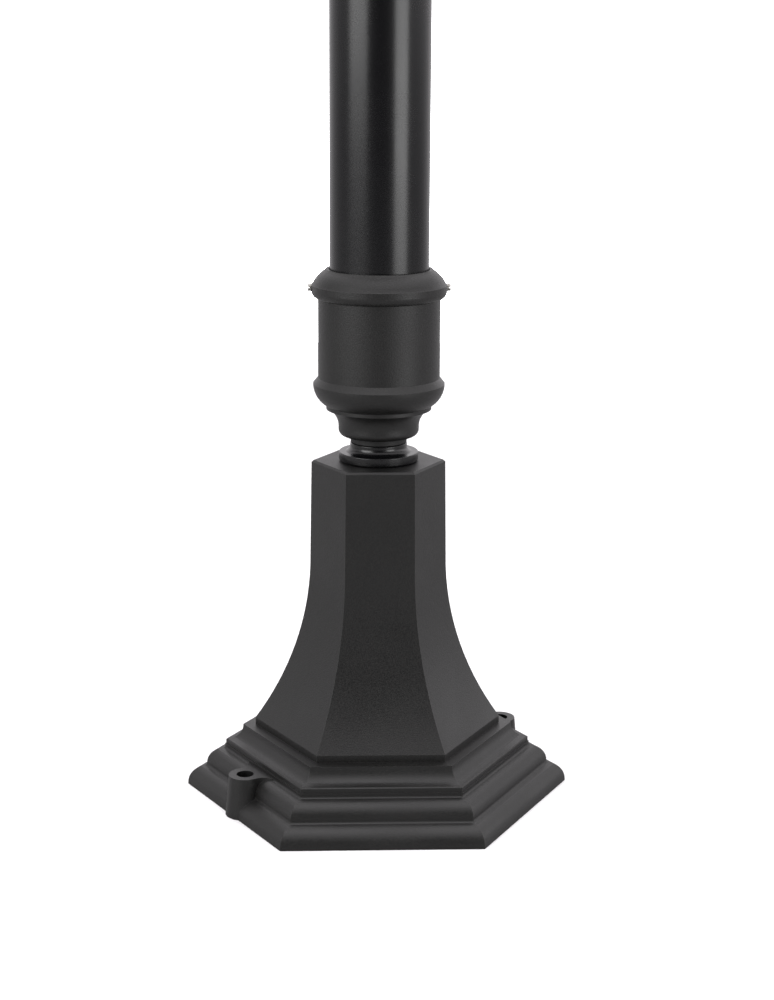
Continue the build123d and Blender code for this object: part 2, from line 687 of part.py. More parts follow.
def post_tube():
    """Round post tube, seated on the socket floors of both collars."""
    with BuildPart() as tube:
        with BuildSketch(Plane.XY.offset(TUBE_BASE)):
            Circle(TUBE_RADIUS)
            Circle(TUBE_RADIUS - TUBE_WALL, mode=Mode.SUBTRACT)
        extrude(amount=TUBE_LENGTH)
    return tube.part


def set_screw(direction, level):
    """Slotted set screw through the collar's upper bead, against the tube."""
    start = TUBE_RADIUS + SCREW_TIP_GAP
    end = BAND_RADIUS + SCREW_PROUD
    with BuildPart() as screw:
        with BuildSketch(Plane.YZ.offset(direction * start)):
            with Locations((0, level)):
                Circle(SCREW_RADIUS)
        extrude(amount=direction * (end - start))
        chamfer(screw.edges().filter_by(GeomType.CIRCLE), SCREW_POINT)
        with BuildSketch(Plane.YZ.offset(direction * end)):
            with Locations((0, level)):
                Rectangle(2 * SCREW_RADIUS, SCREW_SLOT_WIDTH)
        extrude(amount=-direction * SCREW_SLOT_DEPTH, mode=Mode.SUBTRACT)
    return screw.part


# ---------------------------------------------------------------- drum and what it stands on
def head_saddle():
    """Cast saddle: a round plate on the spool, blended up into a cradle for the drum."""
    plate_top = SADDLE_BASE + SADDLE_PLATE_HEIGHT
    cradle_top = DRUM_CENTRE - sqrt(DRUM_RADIUS**2 - (SADDLE_WIDTH / 2) ** 2)
    space = drum_space()
    with BuildPart() as saddle:
        with BuildSketch(Plane.XY.offset(SADDLE_BASE)):
            Circle(SADDLE_PLATE_RADIUS)
        extrude(amount=SADDLE_PLATE_HEIGHT)
        with BuildSketch(Plane.XY.offset(plate_top)):
            Circle(SADDLE_PLATE_RADIUS)
        with BuildSketch(Plane.XY.offset(cradle_top)):
            RectangleRounded(SADDLE_WIDTH, SADDLE_DEPTH, SADDLE_CORNER)
        loft()
        add(space, mode=Mode.SUBTRACT)
        with Locations(Plane.XY.offset(cradle_top)):
            Hole(STUD_RADIUS + STUD_GAP, depth=cradle_top - SADDLE_BASE)
    return saddle.part


def drum_shell():
    """Cast drum open at both ends, with flat bosses inside, hinge knuckles and lock lugs."""
    knuckle_level = (HINGE_MIDDLE + HINGE_END + 2 * HINGE_SLIT) / 2
    trimmings = [lock_lug(side) for side in SIDES.values()]
    for side in SIDES.values():
        for level in (DRUM_CENTRE - knuckle_level, DRUM_CENTRE + knuckle_level):
            trimmings.append(knuckle(side, level, HINGE_END, DRUM_HALF_DEPTH - HINGE_RADIUS))
    pin_holes = hinge_rods(HINGE_PIN_RADIUS)
    with BuildPart() as drum:
        with BuildSketch(face_plane(1, 0)):
            Circle(DRUM_RADIUS)
        extrude(amount=DRUM_HALF_DEPTH, both=True)
        with BuildSketch(face_plane(1, 0)):
            Circle(DRUM_INNER)
        extrude(amount=DRUM_HALF_DEPTH, both=True, mode=Mode.SUBTRACT)
        for upright in (-1, 1):
            with BuildSketch(Plane.XY.offset(DRUM_CENTRE + upright * BOSS_LEVEL)):
                Circle(BOSS_RADIUS)
            extrude(amount=upright * (BOSS_HEIGHT + DRUM_WALL / 2))
        with Locations(Plane.XY.offset(DRUM_CENTRE - BOSS_LEVEL)):
            Hole(STUD_RADIUS + STUD_GAP, depth=2 * BOSS_HEIGHT)
        with Locations(Plane.XY.offset(DRUM_CENTRE + DRUM_RADIUS)):
            Hole(FINIAL_STUD_RADIUS + FINIAL_STUD_GAP, depth=2 * BOSS_HEIGHT)
        add(trimmings)
        add(pin_holes, mode=Mode.SUBTRACT)
    return drum.part


def knuckle(side, level, length, web_depth):
    """One hinge knuckle and the web that joins it to the drum or to the bezel."""
    web_reach = HINGE_OFFSET + BEZEL_OVERHANG + DRUM_WALL
    with BuildPart() as barrel:
        with BuildSketch(Plane.XY.offset(level - length / 2)):
            with Locations((-side * HINGE_PLACE, side * HINGE_DEPTH)):
                Circle(HINGE_RADIUS)
            web_middle = -side * (HINGE_PLACE + web_reach / 2)
            with Locations((web_middle, side * (web_depth + HINGE_RADIUS / 2))):
                Rectangle(web_reach, HINGE_RADIUS)
        extrude(amount=length)
    return barrel.part


def hinge_rods(radius):
    """The two upright rods, one at each door's hinge, from end to end of its knuckles."""
    half = HINGE_MIDDLE / 2 + HINGE_SLIT + HINGE_END
    with BuildPart() as rods:
        with BuildSketch(Plane.XY.offset(DRUM_CENTRE - half)):
            for side in SIDES.values():
                with Locations((-side * HINGE_PLACE, side * HINGE_DEPTH)):
                    Circle(radius)
        extrude(amount=2 * half)
    return rods.part


def lock_lug(side):
    """Lug on the drum's edge with the hole that a lock screw enters."""
    root = DRUM_RADIUS - DRUM_WALL
    end = BEZEL_RADIUS + LOCK_TAB_REACH
    with BuildPart() as lug:
        with BuildSketch(face_plane(side, DRUM_HALF_DEPTH)):
            with Locations(((root + end) / 2, 0)):
                Rectangle(end - root, 2 * LOCK_TAB_HALF)
            with Locations((LOCK_PLACE, 0)):
                Circle(LOCK_SHANK_RADIUS + LOCK_LUG_GAP, mode=Mode.SUBTRACT)
        extrude(amount=-LOCK_LUG_DEPTH)
    return lug.part


def rim_ring(side):
    """Flat ring inside the drum that carries a dial, with holes for its screws."""
    with BuildPart() as ring:
        with BuildSketch(face_plane(side, DIAL_BACK - RIM_RING_THICKNESS)):
            Circle(DRUM_INNER)
            Circle(RIM_RING_RADIUS, mode=Mode.SUBTRACT)
            with PolarLocations(DRUM_INNER - RIM_RING_WIDTH / 2, DIAL_SCREW_COUNT):
                Circle(DIAL_SCREW_RADIUS, mode=Mode.SUBTRACT)
        extrude(amount=RIM_RING_THICKNESS)
    return ring.part


def dial(side):
    """Flat dial plate with holes for the centre bush and all its screws."""
    with BuildPart() as plate:
        with BuildSketch(face_plane(side, DIAL_BACK)):
            Circle(DIAL_RADIUS)
            Circle(BUSH_RADIUS, mode=Mode.SUBTRACT)
            with PolarLocations(DRUM_INNER - RIM_RING_WIDTH / 2, DIAL_SCREW_COUNT):
                Circle(DIAL_SCREW_RADIUS, mode=Mode.SUBTRACT)
            with PolarLocations(PILLAR_DISTANCE, PILLAR_COUNT, start_angle=PILLAR_START):
                Circle(DIAL_SCREW_RADIUS, mode=Mode.SUBTRACT)
        extrude(amount=DIAL_THICKNESS)
    return plate.part


def dial_screws():
    """Pan-head screws that hold both dials to their rings and to the movement pillars."""
    rings = (
        (DRUM_INNER - RIM_RING_WIDTH / 2, DIAL_SCREW_COUNT, 0),
        (PILLAR_DISTANCE, PILLAR_COUNT, PILLAR_START),
    )
    with BuildPart() as screws:
        for side in SIDES.values():
            for distance, count, start in rings:
                with BuildSketch(face_plane(side, DIAL_BACK - RIM_RING_THICKNESS)):
                    with PolarLocations(distance, count, start_angle=start):
                        Circle(DIAL_SCREW_RADIUS)
                extrude(amount=RIM_RING_THICKNESS + DIAL_THICKNESS)
                with BuildSketch(face_plane(side, DIAL_DEPTH)):
                    with PolarLocations(distance, count, start_angle=start):
                        Circle(DIAL_SCREW_HEAD_RADIUS)
                extrude(amount=DIAL_SCREW_HEAD_HEIGHT)
        levels = screws.edges().filter_by(GeomType.CIRCLE).group_by(Axis.Y)
        fillet(levels[0] + levels[-1], DIAL_SCREW_HEAD_EDGE)
    return screws.part


def finial():
    """Turned finial with a base that fits the drum and a stud through its top boss."""
    top = DRUM_CENTRE + DRUM_RADIUS
    ball_centre = top + FINIAL_BASE_HEIGHT + FINIAL_NECK_HEIGHT + FINIAL_BALL_RADIUS
    seat = DRUM_CENTRE + sqrt(DRUM_RADIUS**2 - FINIAL_BASE_RADIUS**2)
    tip = ball_centre + FINIAL_BALL_RADIUS + FINIAL_TIP_HEIGHT
    neck_drop = sqrt(FINIAL_BALL_RADIUS**2 - FINIAL_NECK_RADIUS**2)
    stud_base = DRUM_CENTRE + BOSS_LEVEL - FINIAL_NUT_HEIGHT - STUD_PROUD
    space = drum_space()
    with BuildPart() as ornament:
        with BuildSketch(Plane.XZ):
            with BuildLine():
                Polyline(
                    (0, tip),
                    (0, seat),
                    (FINIAL_BASE_RADIUS, seat),
                    (FINIAL_BASE_RADIUS, top + FINIAL_BASE_HEIGHT / 2),
                )
                TangentArc(
                    (FINIAL_NECK_RADIUS, ball_centre - neck_drop),
                    (FINIAL_BASE_RADIUS, top + FINIAL_BASE_HEIGHT / 2),
                    tangent=(0, -1),
                )
                ThreePointArc(
                    (FINIAL_NECK_RADIUS, ball_centre - neck_drop),
                    (FINIAL_BALL_RADIUS, ball_centre),
                    (FINIAL_NECK_RADIUS, ball_centre + neck_drop),
                )
                TangentArc(
                    (FINIAL_TIP_RADIUS, tip),
                    (FINIAL_NECK_RADIUS, ball_centre + neck_drop),
                    tangent=(0, -1),
                )
                Line((FINIAL_TIP_RADIUS, tip), (0, tip))
            make_face()
        revolve(axis=Axis.Z)
        add(space, mode=Mode.SUBTRACT)
        with BuildSketch(Plane.XY.offset(stud_base)):
            Circle(FINIAL_STUD_RADIUS)
        extrude(amount=top + FINIAL_BASE_HEIGHT - stud_base)
    return ornament.part


def finial_nut():
    """Nut that holds the finial from inside the drum."""
    with BuildPart() as nut:
        with BuildSketch(Plane.XY.offset(DRUM_CENTRE + BOSS_LEVEL)):
            RegularPolygon(FINIAL_NUT_ACROSS_FLATS / 2, 6, major_radius=False)
            Circle(FINIAL_STUD_RADIUS, mode=Mode.SUBTRACT)
        extrude(amount=-FINIAL_NUT_HEIGHT)
    return nut.part


# ---------------------------------------------------------------- bezel doors
def bezel(side):
    """Hinged ring with a front lip, one hinge knuckle and a lock tab."""
    middle_knuckle = knuckle(side, DRUM_CENTRE, HINGE_MIDDLE, BEZEL_BACK)
    pin_holes = hinge_rods(HINGE_PIN_RADIUS + HINGE_PIN_GAP)
    with BuildPart() as ring:
        with BuildSketch(face_plane(side, BEZEL_BACK)):
            Circle(BEZEL_RADIUS)
        extrude(amount=BEZEL_DEPTH)
        front_edge = ring.edges().filter_by(GeomType.CIRCLE).sort_by(Axis.Y)
        fillet(front_edge[-1:] if side > 0 else front_edge[:1], BEZEL_ROUND)
        with BuildSketch(face_plane(side, BEZEL_BACK)):
            Circle(GASKET_RADIUS)
        extrude(amount=BEZEL_DEPTH - BEZEL_LIP_THICKNESS, mode=Mode.SUBTRACT)
        with BuildSketch(face_plane(side, GASKET_FRONT)):
            Circle(WINDOW_RADIUS)
        extrude(amount=BEZEL_LIP_THICKNESS, mode=Mode.SUBTRACT)
        with BuildSketch(face_plane(side, BEZEL_BACK)):
            with Locations((BEZEL_RADIUS + (LOCK_TAB_REACH - BEZEL_RIM / 2) / 2, 0)):
                Rectangle(LOCK_TAB_REACH + BEZEL_RIM / 2, 2 * LOCK_TAB_HALF)
            with Locations((LOCK_PLACE, 0)):
                Circle(LOCK_SHANK_RADIUS + LOCK_SHANK_GAP, mode=Mode.SUBTRACT)
        extrude(amount=LOCK_TAB_THICKNESS)
        add(middle_knuckle)
        add(pin_holes, mode=Mode.SUBTRACT)
    return ring.part


def gasket(side):
    """Rubber channel round the edge of the glass, seated in the bezel."""
    with BuildPart() as channel:
        with BuildSketch(face_plane(side, GASKET_BACK)):
            Circle(GASKET_RADIUS)
            Circle(GASKET_RADIUS - GASKET_REACH, mode=Mode.SUBTRACT)
        extrude(amount=GASKET_FRONT - GASKET_BACK)
        with BuildSketch(face_plane(side, GLASS_BACK)):
            Circle(GLASS_RADIUS)
        extrude(amount=GLASS_THICKNESS, mode=Mode.SUBTRACT)
    return channel.part


def dial_glass(side):
    """Flat cover glass in its gasket."""
    with BuildPart() as pane:
        with BuildSketch(face_plane(side, GLASS_BACK)):
            Circle(GLASS_RADIUS)
        extrude(amount=GLASS_THICKNESS)
    return pane.part


def hinge_pins():
    """One steel pin through each door's three knuckles."""
    return hinge_rods(HINGE_PIN_RADIUS)


def lock_screw(side):
    """Quarter-turn lock screw, captive in the bezel's tab."""
    head_back = LOCK_TAB_FRONT + LOCK_HEAD_GAP
    with BuildPart() as screw:
        with BuildSketch(face_plane(side, BEZEL_BACK - LOCK_REACH)):
            with Locations((LOCK_PLACE, 0)):
                Circle(LOCK_SHANK_RADIUS)
        extrude(amount=head_back + LOCK_REACH - BEZEL_BACK)
        with BuildSketch(face_plane(side, head_back)):
            with Locations((LOCK_PLACE, 0)):
                Circle(LOCK_HEAD_RADIUS)
        extrude(amount=LOCK_HEAD_HEIGHT)
        rims = screw.edges().filter_by(GeomType.CIRCLE).sort_by(Axis.Y)
        fillet(rims[-1:] if side > 0 else rims[:1], LOCK_HEAD_EDGE)
        with BuildSketch(face_plane(side, head_back + LOCK_HEAD_HEIGHT)):
            with Locations((LOCK_PLACE, 0)):
                Rectangle(LOCK_SLOT_WIDTH, 2 * LOCK_HEAD_RADIUS)
        extrude(amount=-LOCK_SLOT_DEPTH, mode=Mode.SUBTRACT)
    return screw.part


# ---------------------------------------------------------------- movement and motion work
def involute(angle):
    """Involute function of a pressure angle in radians."""
    return tan(angle) - angle


def gear_outline(teeth, phase):
    """Closed outline of an involute gear, one tooth centred at the phase in degrees."""
    pitch_radius = GEAR_MODULE * teeth / 2
    base_radius = pitch_radius * cos(radians(PRESSURE_ANGLE))
    root_radius = pitch_radius - GEAR_DEDENDUM * GEAR_MODULE
    tip_radius = pitch_radius + GEAR_ADDENDUM * GEAR_MODULE
    flank_start = max(base_radius, root_radius)
    pitch_half = (pi * GEAR_MODULE / 2 - GEAR_BACKLASH) / (2 * pitch_radius)
    flank = []
    for step in range(GEAR_FLANK_STEPS + 1):
        radius = flank_start + (tip_radius - flank_start) * step / GEAR_FLANK_STEPS
        lean = involute(radians(PRESSURE_ANGLE)) - involute(acos(base_radius / radius))
        flank.append((radius, pitch_half + lean))
    if flank_start > root_radius:
        flank.insert(0, (root_radius, flank[0][1]))
    tooth = [(radius, -half) for radius, half in flank] + flank[::-1]
    points = []
    for index in range(teeth):
        middle = radians(phase) + 2 * pi * index / teeth
        for radius, angle in tooth:
            points.append((radius * cos(middle + angle), radius * sin(middle + angle)))
    return Polyline(*points, close=True)


def movement_plate(side):
    """Brass plate behind the dial that carries the wheels in front and the motor behind."""
    with BuildPart() as plate:
        with BuildSketch(face_plane(side, PLATE_BACK)):
            Circle(PLATE_RADIUS)
            Circle(ARBOR_RADIUS + RUNNING_GAP, mode=Mode.SUBTRACT)
            with Locations((0, MOTION_CENTRES)):
                Circle(WHEEL_POST_RADIUS, mode=Mode.SUBTRACT)
        extrude(amount=PLATE_THICKNESS)
    return plate.part


def movement_pillars():
    """Threaded pillars between each movement plate and the back of its dial."""
    with BuildPart() as pillars:
        for side in SIDES.values():
            with BuildSketch(face_plane(side, PLATE_FRONT)):
                with PolarLocations(PILLAR_DISTANCE, PILLAR_COUNT, start_angle=PILLAR_START):
                    Circle(PILLAR_RADIUS)
            extrude(amount=DIAL_BACK - PLATE_FRONT)
            with BuildSketch(face_plane(side, DIAL_BACK)):
                with PolarLocations(PILLAR_DISTANCE, PILLAR_COUNT, start_angle=PILLAR_START):
                    Circle(DIAL_SCREW_RADIUS)
            extrude(amount=-RIM_RING_THICKNESS, mode=Mode.SUBTRACT)
    return pillars.part


def movement_motor(side):
    """Synchronous motor on the back of the plate, with a well for the arbor's end."""
    with BuildPart() as motor:
        with BuildSketch(face_plane(side, PLATE_BACK)):
            Circle(MOTOR_RADIUS)
        extrude(amount=-MOTOR_LENGTH)
        rims = motor.edges().filter_by(GeomType.CIRCLE).sort_by(SortBy.DISTANCE)
        fillet(rims[:1], MOTOR_WELL)
        with BuildSketch(face_plane(side, PLATE_BACK)):
            Circle(ARBOR_RADIUS + RUNNING_GAP)
        extrude(amount=-MOTOR_WELL - RUNNING_GAP, mode=Mode.SUBTRACT)
    return motor.part


def wheel_posts():
    """Fixed post in each movement plate, on which the minute wheel turns."""
    with BuildPart() as posts:
        for side in SIDES.values():
            with BuildSketch(face_plane(side, PLATE_BACK)):
                with Locations((0, MOTION_CENTRES)):
                    Circle(WHEEL_POST_RADIUS)
            extrude(amount=BUSH_FLANGE_BACK - PLATE_BACK)
    return posts.part


def centre_bush(side):
    """Flanged bush through the dial: the bearing of the hour pipe."""
    with BuildPart() as bush:
        with BuildSketch(face_plane(side, BUSH_FLANGE_BACK)):
            Circle(BUSH_FLANGE_RADIUS)
        extrude(amount=BUSH_FLANGE_THICKNESS)
        with BuildSketch(face_plane(side, DIAL_BACK)):
            Circle(BUSH_RADIUS)
        extrude(amount=BUSH_FRONT - DIAL_BACK)
        with BuildSketch(face_plane(side, BUSH_FLANGE_BACK)):
            Circle(BUSH_BORE_RADIUS)
        extrude(amount=BUSH_FRONT - BUSH_FLANGE_BACK, mode=Mode.SUBTRACT)
    return bush.part


def bush_nuts():
    """Thin hexagon nut on each centre bush, against the face of the dial."""
    with BuildPart() as nuts:
        for side in SIDES.values():
            with BuildSketch(face_plane(side, DIAL_DEPTH)):
                RegularPolygon(BUSH_NUT_ACROSS_FLATS / 2, 6, major_radius=False)
                Circle(BUSH_RADIUS, mode=Mode.SUBTRACT)
            extrude(amount=BUSH_NUT_HEIGHT)
    return nuts.part


def minute_arbor(side):
    """Steel arbor with the cannon pinion cut on it, from the motor to the minute hand."""
    arbor_back = PLATE_BACK - MOTOR_WELL
    with BuildPart() as arbor:
        with BuildSketch(face_plane(side, arbor_back)):
            Circle(ARBOR_RADIUS)
        extrude(amount=ARBOR_FRONT - arbor_back)
        with BuildSketch(face_plane(side, MINUTE_WHEEL_BACK)):
            with BuildLine():
                gear_outline(CANNON_TEETH, 90)
            make_face()
        extrude(amount=GEAR_THICKNESS)
    return arbor.part


def minute_wheel(side):
    """Brass wheel with its pinion, on the post beside the arbor."""
    tooth_gap = 180 / MINUTE_WHEEL_TEETH
    with BuildPart() as wheel:
        with BuildSketch(face_plane(side, MINUTE_WHEEL_BACK)):
            with BuildLine():
                gear_outline(MINUTE_WHEEL_TEETH, 270 + tooth_gap)
            make_face()
        extrude(amount=GEAR_THICKNESS)
        with BuildSketch(face_plane(side, MINUTE_WHEEL_BACK + GEAR_THICKNESS)):
            with BuildLine():
                gear_outline(MINUTE_PINION_TEETH, 270)
            make_face()
        extrude(amount=GEAR_GAP + GEAR_THICKNESS)
        with BuildSketch(face_plane(side, MINUTE_WHEEL_BACK)):
            Circle(WHEEL_POST_RADIUS + RUNNING_GAP)
        extrude(amount=2 * GEAR_THICKNESS + GEAR_GAP, mode=Mode.SUBTRACT)
    from_axis = face_plane(side, 0)
    return moved_copy(wheel.part, Location(from_axis.y_dir * MOTION_CENTRES))


def hour_wheel(side):
    """Brass wheel on the long pipe that carries the hour hand."""
    tooth_gap = 180 / HOUR_WHEEL_TEETH
    with BuildPart() as wheel:
        with BuildSketch(face_plane(side, HOUR_WHEEL_BACK)):
            with BuildLine():
                gear_outline(HOUR_WHEEL_TEETH, 90 + tooth_gap)
            make_face()
        extrude(amount=GEAR_THICKNESS)
        with BuildSketch(face_plane(side, HOUR_WHEEL_BACK)):
            Circle(HOUR_PIPE_RADIUS)
        extrude(amount=HOUR_PIPE_FRONT - HOUR_WHEEL_BACK)
        with BuildSketch(face_plane(side, HOUR_WHEEL_BACK)):
            Circle(ARBOR_RADIUS + RUNNING_GAP)
        extrude(amount=HOUR_PIPE_FRONT - HOUR_WHEEL_BACK, mode=Mode.SUBTRACT)
    return wheel.part


def hand(side, depth, angle, length, width, bore_radius):
    """A leaf-shaped hand with a round hub and a counterweight tail."""
    stem = HAND_STEM_WIDTH / 2
    widest = length * HAND_SWELL
    with BuildPart() as blade:
        with BuildSketch(face_plane(side, depth, angle)):
            with BuildLine():
                Polyline(
                    (0, -HAND_TAIL),
                    (stem, -HAND_TAIL),
                    (stem, HAND_HUB_RADIUS),
                    (width / 2, widest),
                    (HAND_TIP_WIDTH / 2, length),
                    (0, length),
                    (0, -HAND_TAIL),
                )
            make_face()
            mirror(about=Plane.YZ)
            Circle(HAND_HUB_RADIUS)
            with Locations((0, -HAND_TAIL)):
                Circle(HAND_STEM_WIDTH)
            Circle(bore_radius, mode=Mode.SUBTRACT)
        extrude(amount=HAND_THICKNESS)
    return blade.part


def hand_nut(side):
    """Round knurled nut that holds the minute hand on its arbor."""
    with BuildPart() as nut:
        with BuildSketch(face_plane(side, MINUTE_HAND_FRONT)):
            Circle(HAND_NUT_RADIUS)
            Circle(ARBOR_RADIUS, mode=Mode.SUBTRACT)
        extrude(amount=HAND_NUT_HEIGHT)
    return nut.part


def terminal_block():
    """Four-way terminal block behind the front movement plate, below the motor."""
    pitch = TERMINAL_WIDTH / TERMINAL_WAYS
    with BuildPart() as block:
        with BuildSketch(face_plane(SIDES["front"], PLATE_BACK)):
            with Locations((0, -TERMINAL_DROP)):
                Rectangle(TERMINAL_WIDTH, TERMINAL_HEIGHT)
        extrude(amount=-TERMINAL_DEPTH)
        with BuildSketch(Plane.XY.offset(DRUM_CENTRE - TERMINAL_DROP - TERMINAL_HEIGHT / 2)):
            with Locations((0, -PLATE_BACK + TERMINAL_DEPTH / 2)):
                with GridLocations(pitch, pitch, TERMINAL_WAYS, 1):
                    Circle(TERMINAL_HOLE_RADIUS)
        extrude(amount=TERMINAL_HEIGHT, mode=Mode.SUBTRACT)
    return block.part


# ---------------------------------------------------------------- the whole clock
def save_lower_joint():
    """Foot, spool, stud and their small pieces: everything that stays with the ground."""
    low = FOOT_CEILING
    high = COLLAR_BASE + CUP_FLOOR + SWIVEL_GAP
    save(base_casting(), "base_casting")
    save(earth_screw(), "earth_screw")
    save(moved_copy(spool(), Location((0, 0, FOOT_TOP))), "foot_spool")
    save(moved_copy(swivel_ring(), Location((0, 0, FOOT_TOP + SPOOL_HEIGHT))), "foot_swivel_ring")
    save(stud(low, high), "foot_stud")
    save(stud_washers(low, high), "foot_stud_washers")
    save(stud_nuts(low, high), "foot_stud_nuts")
    stud_end = low - WASHER_HEIGHT - NUT_HEIGHT - STUD_PROUD
    save(cable_grommet(stud_end), "cable_grommet")


def save_post():
    """Both collars, the tube between them and the four set screws."""
    upside_down = Location((0, 0, UPPER_COLLAR_TOP), (180, 0, 0))
    save(moved_copy(collar(), Location((0, 0, COLLAR_BASE))), "lower_collar")
    save(moved_copy(collar(), upside_down), "upper_collar")
    save(post_tube(), "post_tube")
    levels = {"lower": COLLAR_BASE + SCREW_LEVEL, "upper": UPPER_COLLAR_TOP - SCREW_LEVEL}
    for end, level in levels.items():
        for name, direction in {"left": -1, "right": 1}.items():
            save(set_screw(direction, level), f"{end}_set_screw_{name}")


def save_head():
    """Saddle, drum, finial and everything fixed inside the drum."""
    low = UPPER_COLLAR_TOP - CUP_FLOOR - SWIVEL_GAP
    high = DRUM_CENTRE - BOSS_LEVEL
    spool_place = Location((0, 0, SADDLE_BASE), (180, 0, 0))
    ring_place = Location((0, 0, UPPER_COLLAR_TOP + SWIVEL_GAP))
    save(moved_copy(spool(), spool_place), "head_spool")
    save(moved_copy(swivel_ring(), ring_place), "head_swivel_ring")
    save(stud(low, high), "head_stud")
    save(stud_washers(low, high), "head_stud_washers")
    save(stud_nuts(low, high), "head_stud_nuts")
    save(head_saddle(), "head_saddle")
    save(drum_shell(), "drum_shell")
    save(finial(), "finial")
    save(finial_nut(), "finial_nut")
    save(hinge_pins(), "hinge_pins")
    save(dial_screws(), "dial_screws")
    save(movement_pillars(), "movement_pillars")
    save(wheel_posts(), "wheel_posts")
    save(bush_nuts(), "bush_nuts")
    save(terminal_block(), "terminal_block")


def save_face(name, side):
    """One dial with its door, movement, motion work and hands."""
    save(rim_ring(side), f"{name}_rim_ring")
    save(dial(side), f"{name}_dial")
    save(movement_plate(side), f"{name}_movement_plate")
    save(movement_motor(side), f"{name}_motor")
    save(centre_bush(side), f"{name}_centre_bush")
    save(minute_arbor(side), f"{name}_minute_arbor")
    save(minute_wheel(side), f"{name}_minute_wheel")
    save(hour_wheel(side), f"{name}_hour_wheel")
    hour_hand = hand(
        side, HOUR_HAND_BACK, HOUR_HAND_ANGLE, HOUR_HAND_LENGTH, HOUR_HAND_WIDTH, HOUR_PIPE_RADIUS
    )
    minute_hand = hand(
        side, MINUTE_HAND_BACK, MINUTE_HAND_ANGLE, MINUTE_HAND_LENGTH, MINUTE_HAND_WIDTH, ARBOR_RADIUS
    )
    save(hour_hand, f"{name}_hour_hand")
    save(minute_hand, f"{name}_minute_hand")
    save(hand_nut(side), f"{name}_hand_nut")
    save(bezel(side), f"{name}_bezel")
    save(gasket(side), f"{name}_gasket")
    save(dial_glass(side), f"{name}_glass")
    save(lock_screw(side), f"{name}_lock_screw")


os.makedirs("parts", exist_ok=True)
save_lower_joint()
save_post()
save_head()
for face_name, face_side in SIDES.items():
    save_face(face_name, face_side)
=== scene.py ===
# %% [markdown]
# # A double-sided street clock on its post
#
# This lesson dresses a finished CAD model. The model arrives as a fixed frame in metres, and
# every piece is already in its place. What is left to do is what a paint shop, a clock maker
# and a studio do: coat the castings, ease their edges, cut the threads that the eye can see,
# print the dials and light the whole.

# %% Load the frame
import json
from math import cos, pi, radians, sin

import bmesh
import bpy
from mathutils import Matrix, Vector


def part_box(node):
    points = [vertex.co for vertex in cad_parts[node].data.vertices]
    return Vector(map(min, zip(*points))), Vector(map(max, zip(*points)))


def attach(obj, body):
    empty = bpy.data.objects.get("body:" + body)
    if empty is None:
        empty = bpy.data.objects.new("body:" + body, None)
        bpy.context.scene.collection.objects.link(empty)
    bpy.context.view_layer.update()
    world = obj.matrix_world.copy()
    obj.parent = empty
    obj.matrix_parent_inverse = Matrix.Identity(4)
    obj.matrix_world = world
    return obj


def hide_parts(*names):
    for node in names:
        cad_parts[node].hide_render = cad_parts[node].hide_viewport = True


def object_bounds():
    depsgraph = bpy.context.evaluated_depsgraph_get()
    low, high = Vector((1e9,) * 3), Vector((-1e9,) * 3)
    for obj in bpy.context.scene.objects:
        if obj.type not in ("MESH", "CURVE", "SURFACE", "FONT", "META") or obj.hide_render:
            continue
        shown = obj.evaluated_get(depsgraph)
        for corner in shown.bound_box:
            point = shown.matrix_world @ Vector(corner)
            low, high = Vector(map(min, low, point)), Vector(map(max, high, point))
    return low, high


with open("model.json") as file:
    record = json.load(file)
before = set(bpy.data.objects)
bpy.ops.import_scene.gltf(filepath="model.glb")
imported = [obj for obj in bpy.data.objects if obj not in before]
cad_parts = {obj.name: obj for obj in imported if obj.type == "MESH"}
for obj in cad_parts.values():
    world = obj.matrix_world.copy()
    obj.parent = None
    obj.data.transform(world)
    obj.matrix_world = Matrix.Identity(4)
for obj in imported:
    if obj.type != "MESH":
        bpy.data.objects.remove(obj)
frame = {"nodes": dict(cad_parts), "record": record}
CAD_LOW, CAD_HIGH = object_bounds()
MM = 0.001
CAD_SIZE_MM = [round((high - low) / MM) for low, high in zip(CAD_LOW, CAD_HIGH)]
print("CAD nodes:", len(frame["nodes"]), "size in mm:", CAD_SIZE_MM)

# %% [markdown]
# ## Two small tools for materials
#
# Colours are chosen as sRGB hex values, but a renderer adds light in linear numbers, so
# one function turns one into the other. A second function adds a node, sets what it is told to
# and links its inputs, so a material reads like a recipe: one line for one step.

# %% Colour and node tools
def linear(hex_colour):
    """Linear RGBA from an sRGB hex colour, by the curve of the sRGB standard."""
    values = [int(hex_colour[i : i + 2], 16) / 255 for i in (1, 3, 5)]
    curve = [v / 12.92 if v <= 0.04045 else ((v + 0.055) / 1.055) ** 2.4 for v in values]
    return (*curve, 1.0)


def add_node(tree, kind, settings=None, links=None):
    """Adds a node to a tree, sets its properties and values, and links its inputs."""
    made = tree.nodes.new(kind)
    for name, value in (settings or {}).items():
        if isinstance(name, str) and hasattr(made, name):
            setattr(made, name, value)
        else:
            made.inputs[name].default_value = value
    for name, source in (links or {}).items():
        tree.links.new(source, made.inputs[name])
    return made


def new_material(name):
    """An empty node material with an output, and its node tree."""
    material = bpy.data.materials.new(name)
    material.use_nodes = True
    material.node_tree.nodes.clear()
    return material, material.node_tree


def finish_material(tree, shader):
    """Connects a shader to the tree's output."""
    add_node(tree, "ShaderNodeOutputMaterial", links={"Surface": shader.outputs[0]})


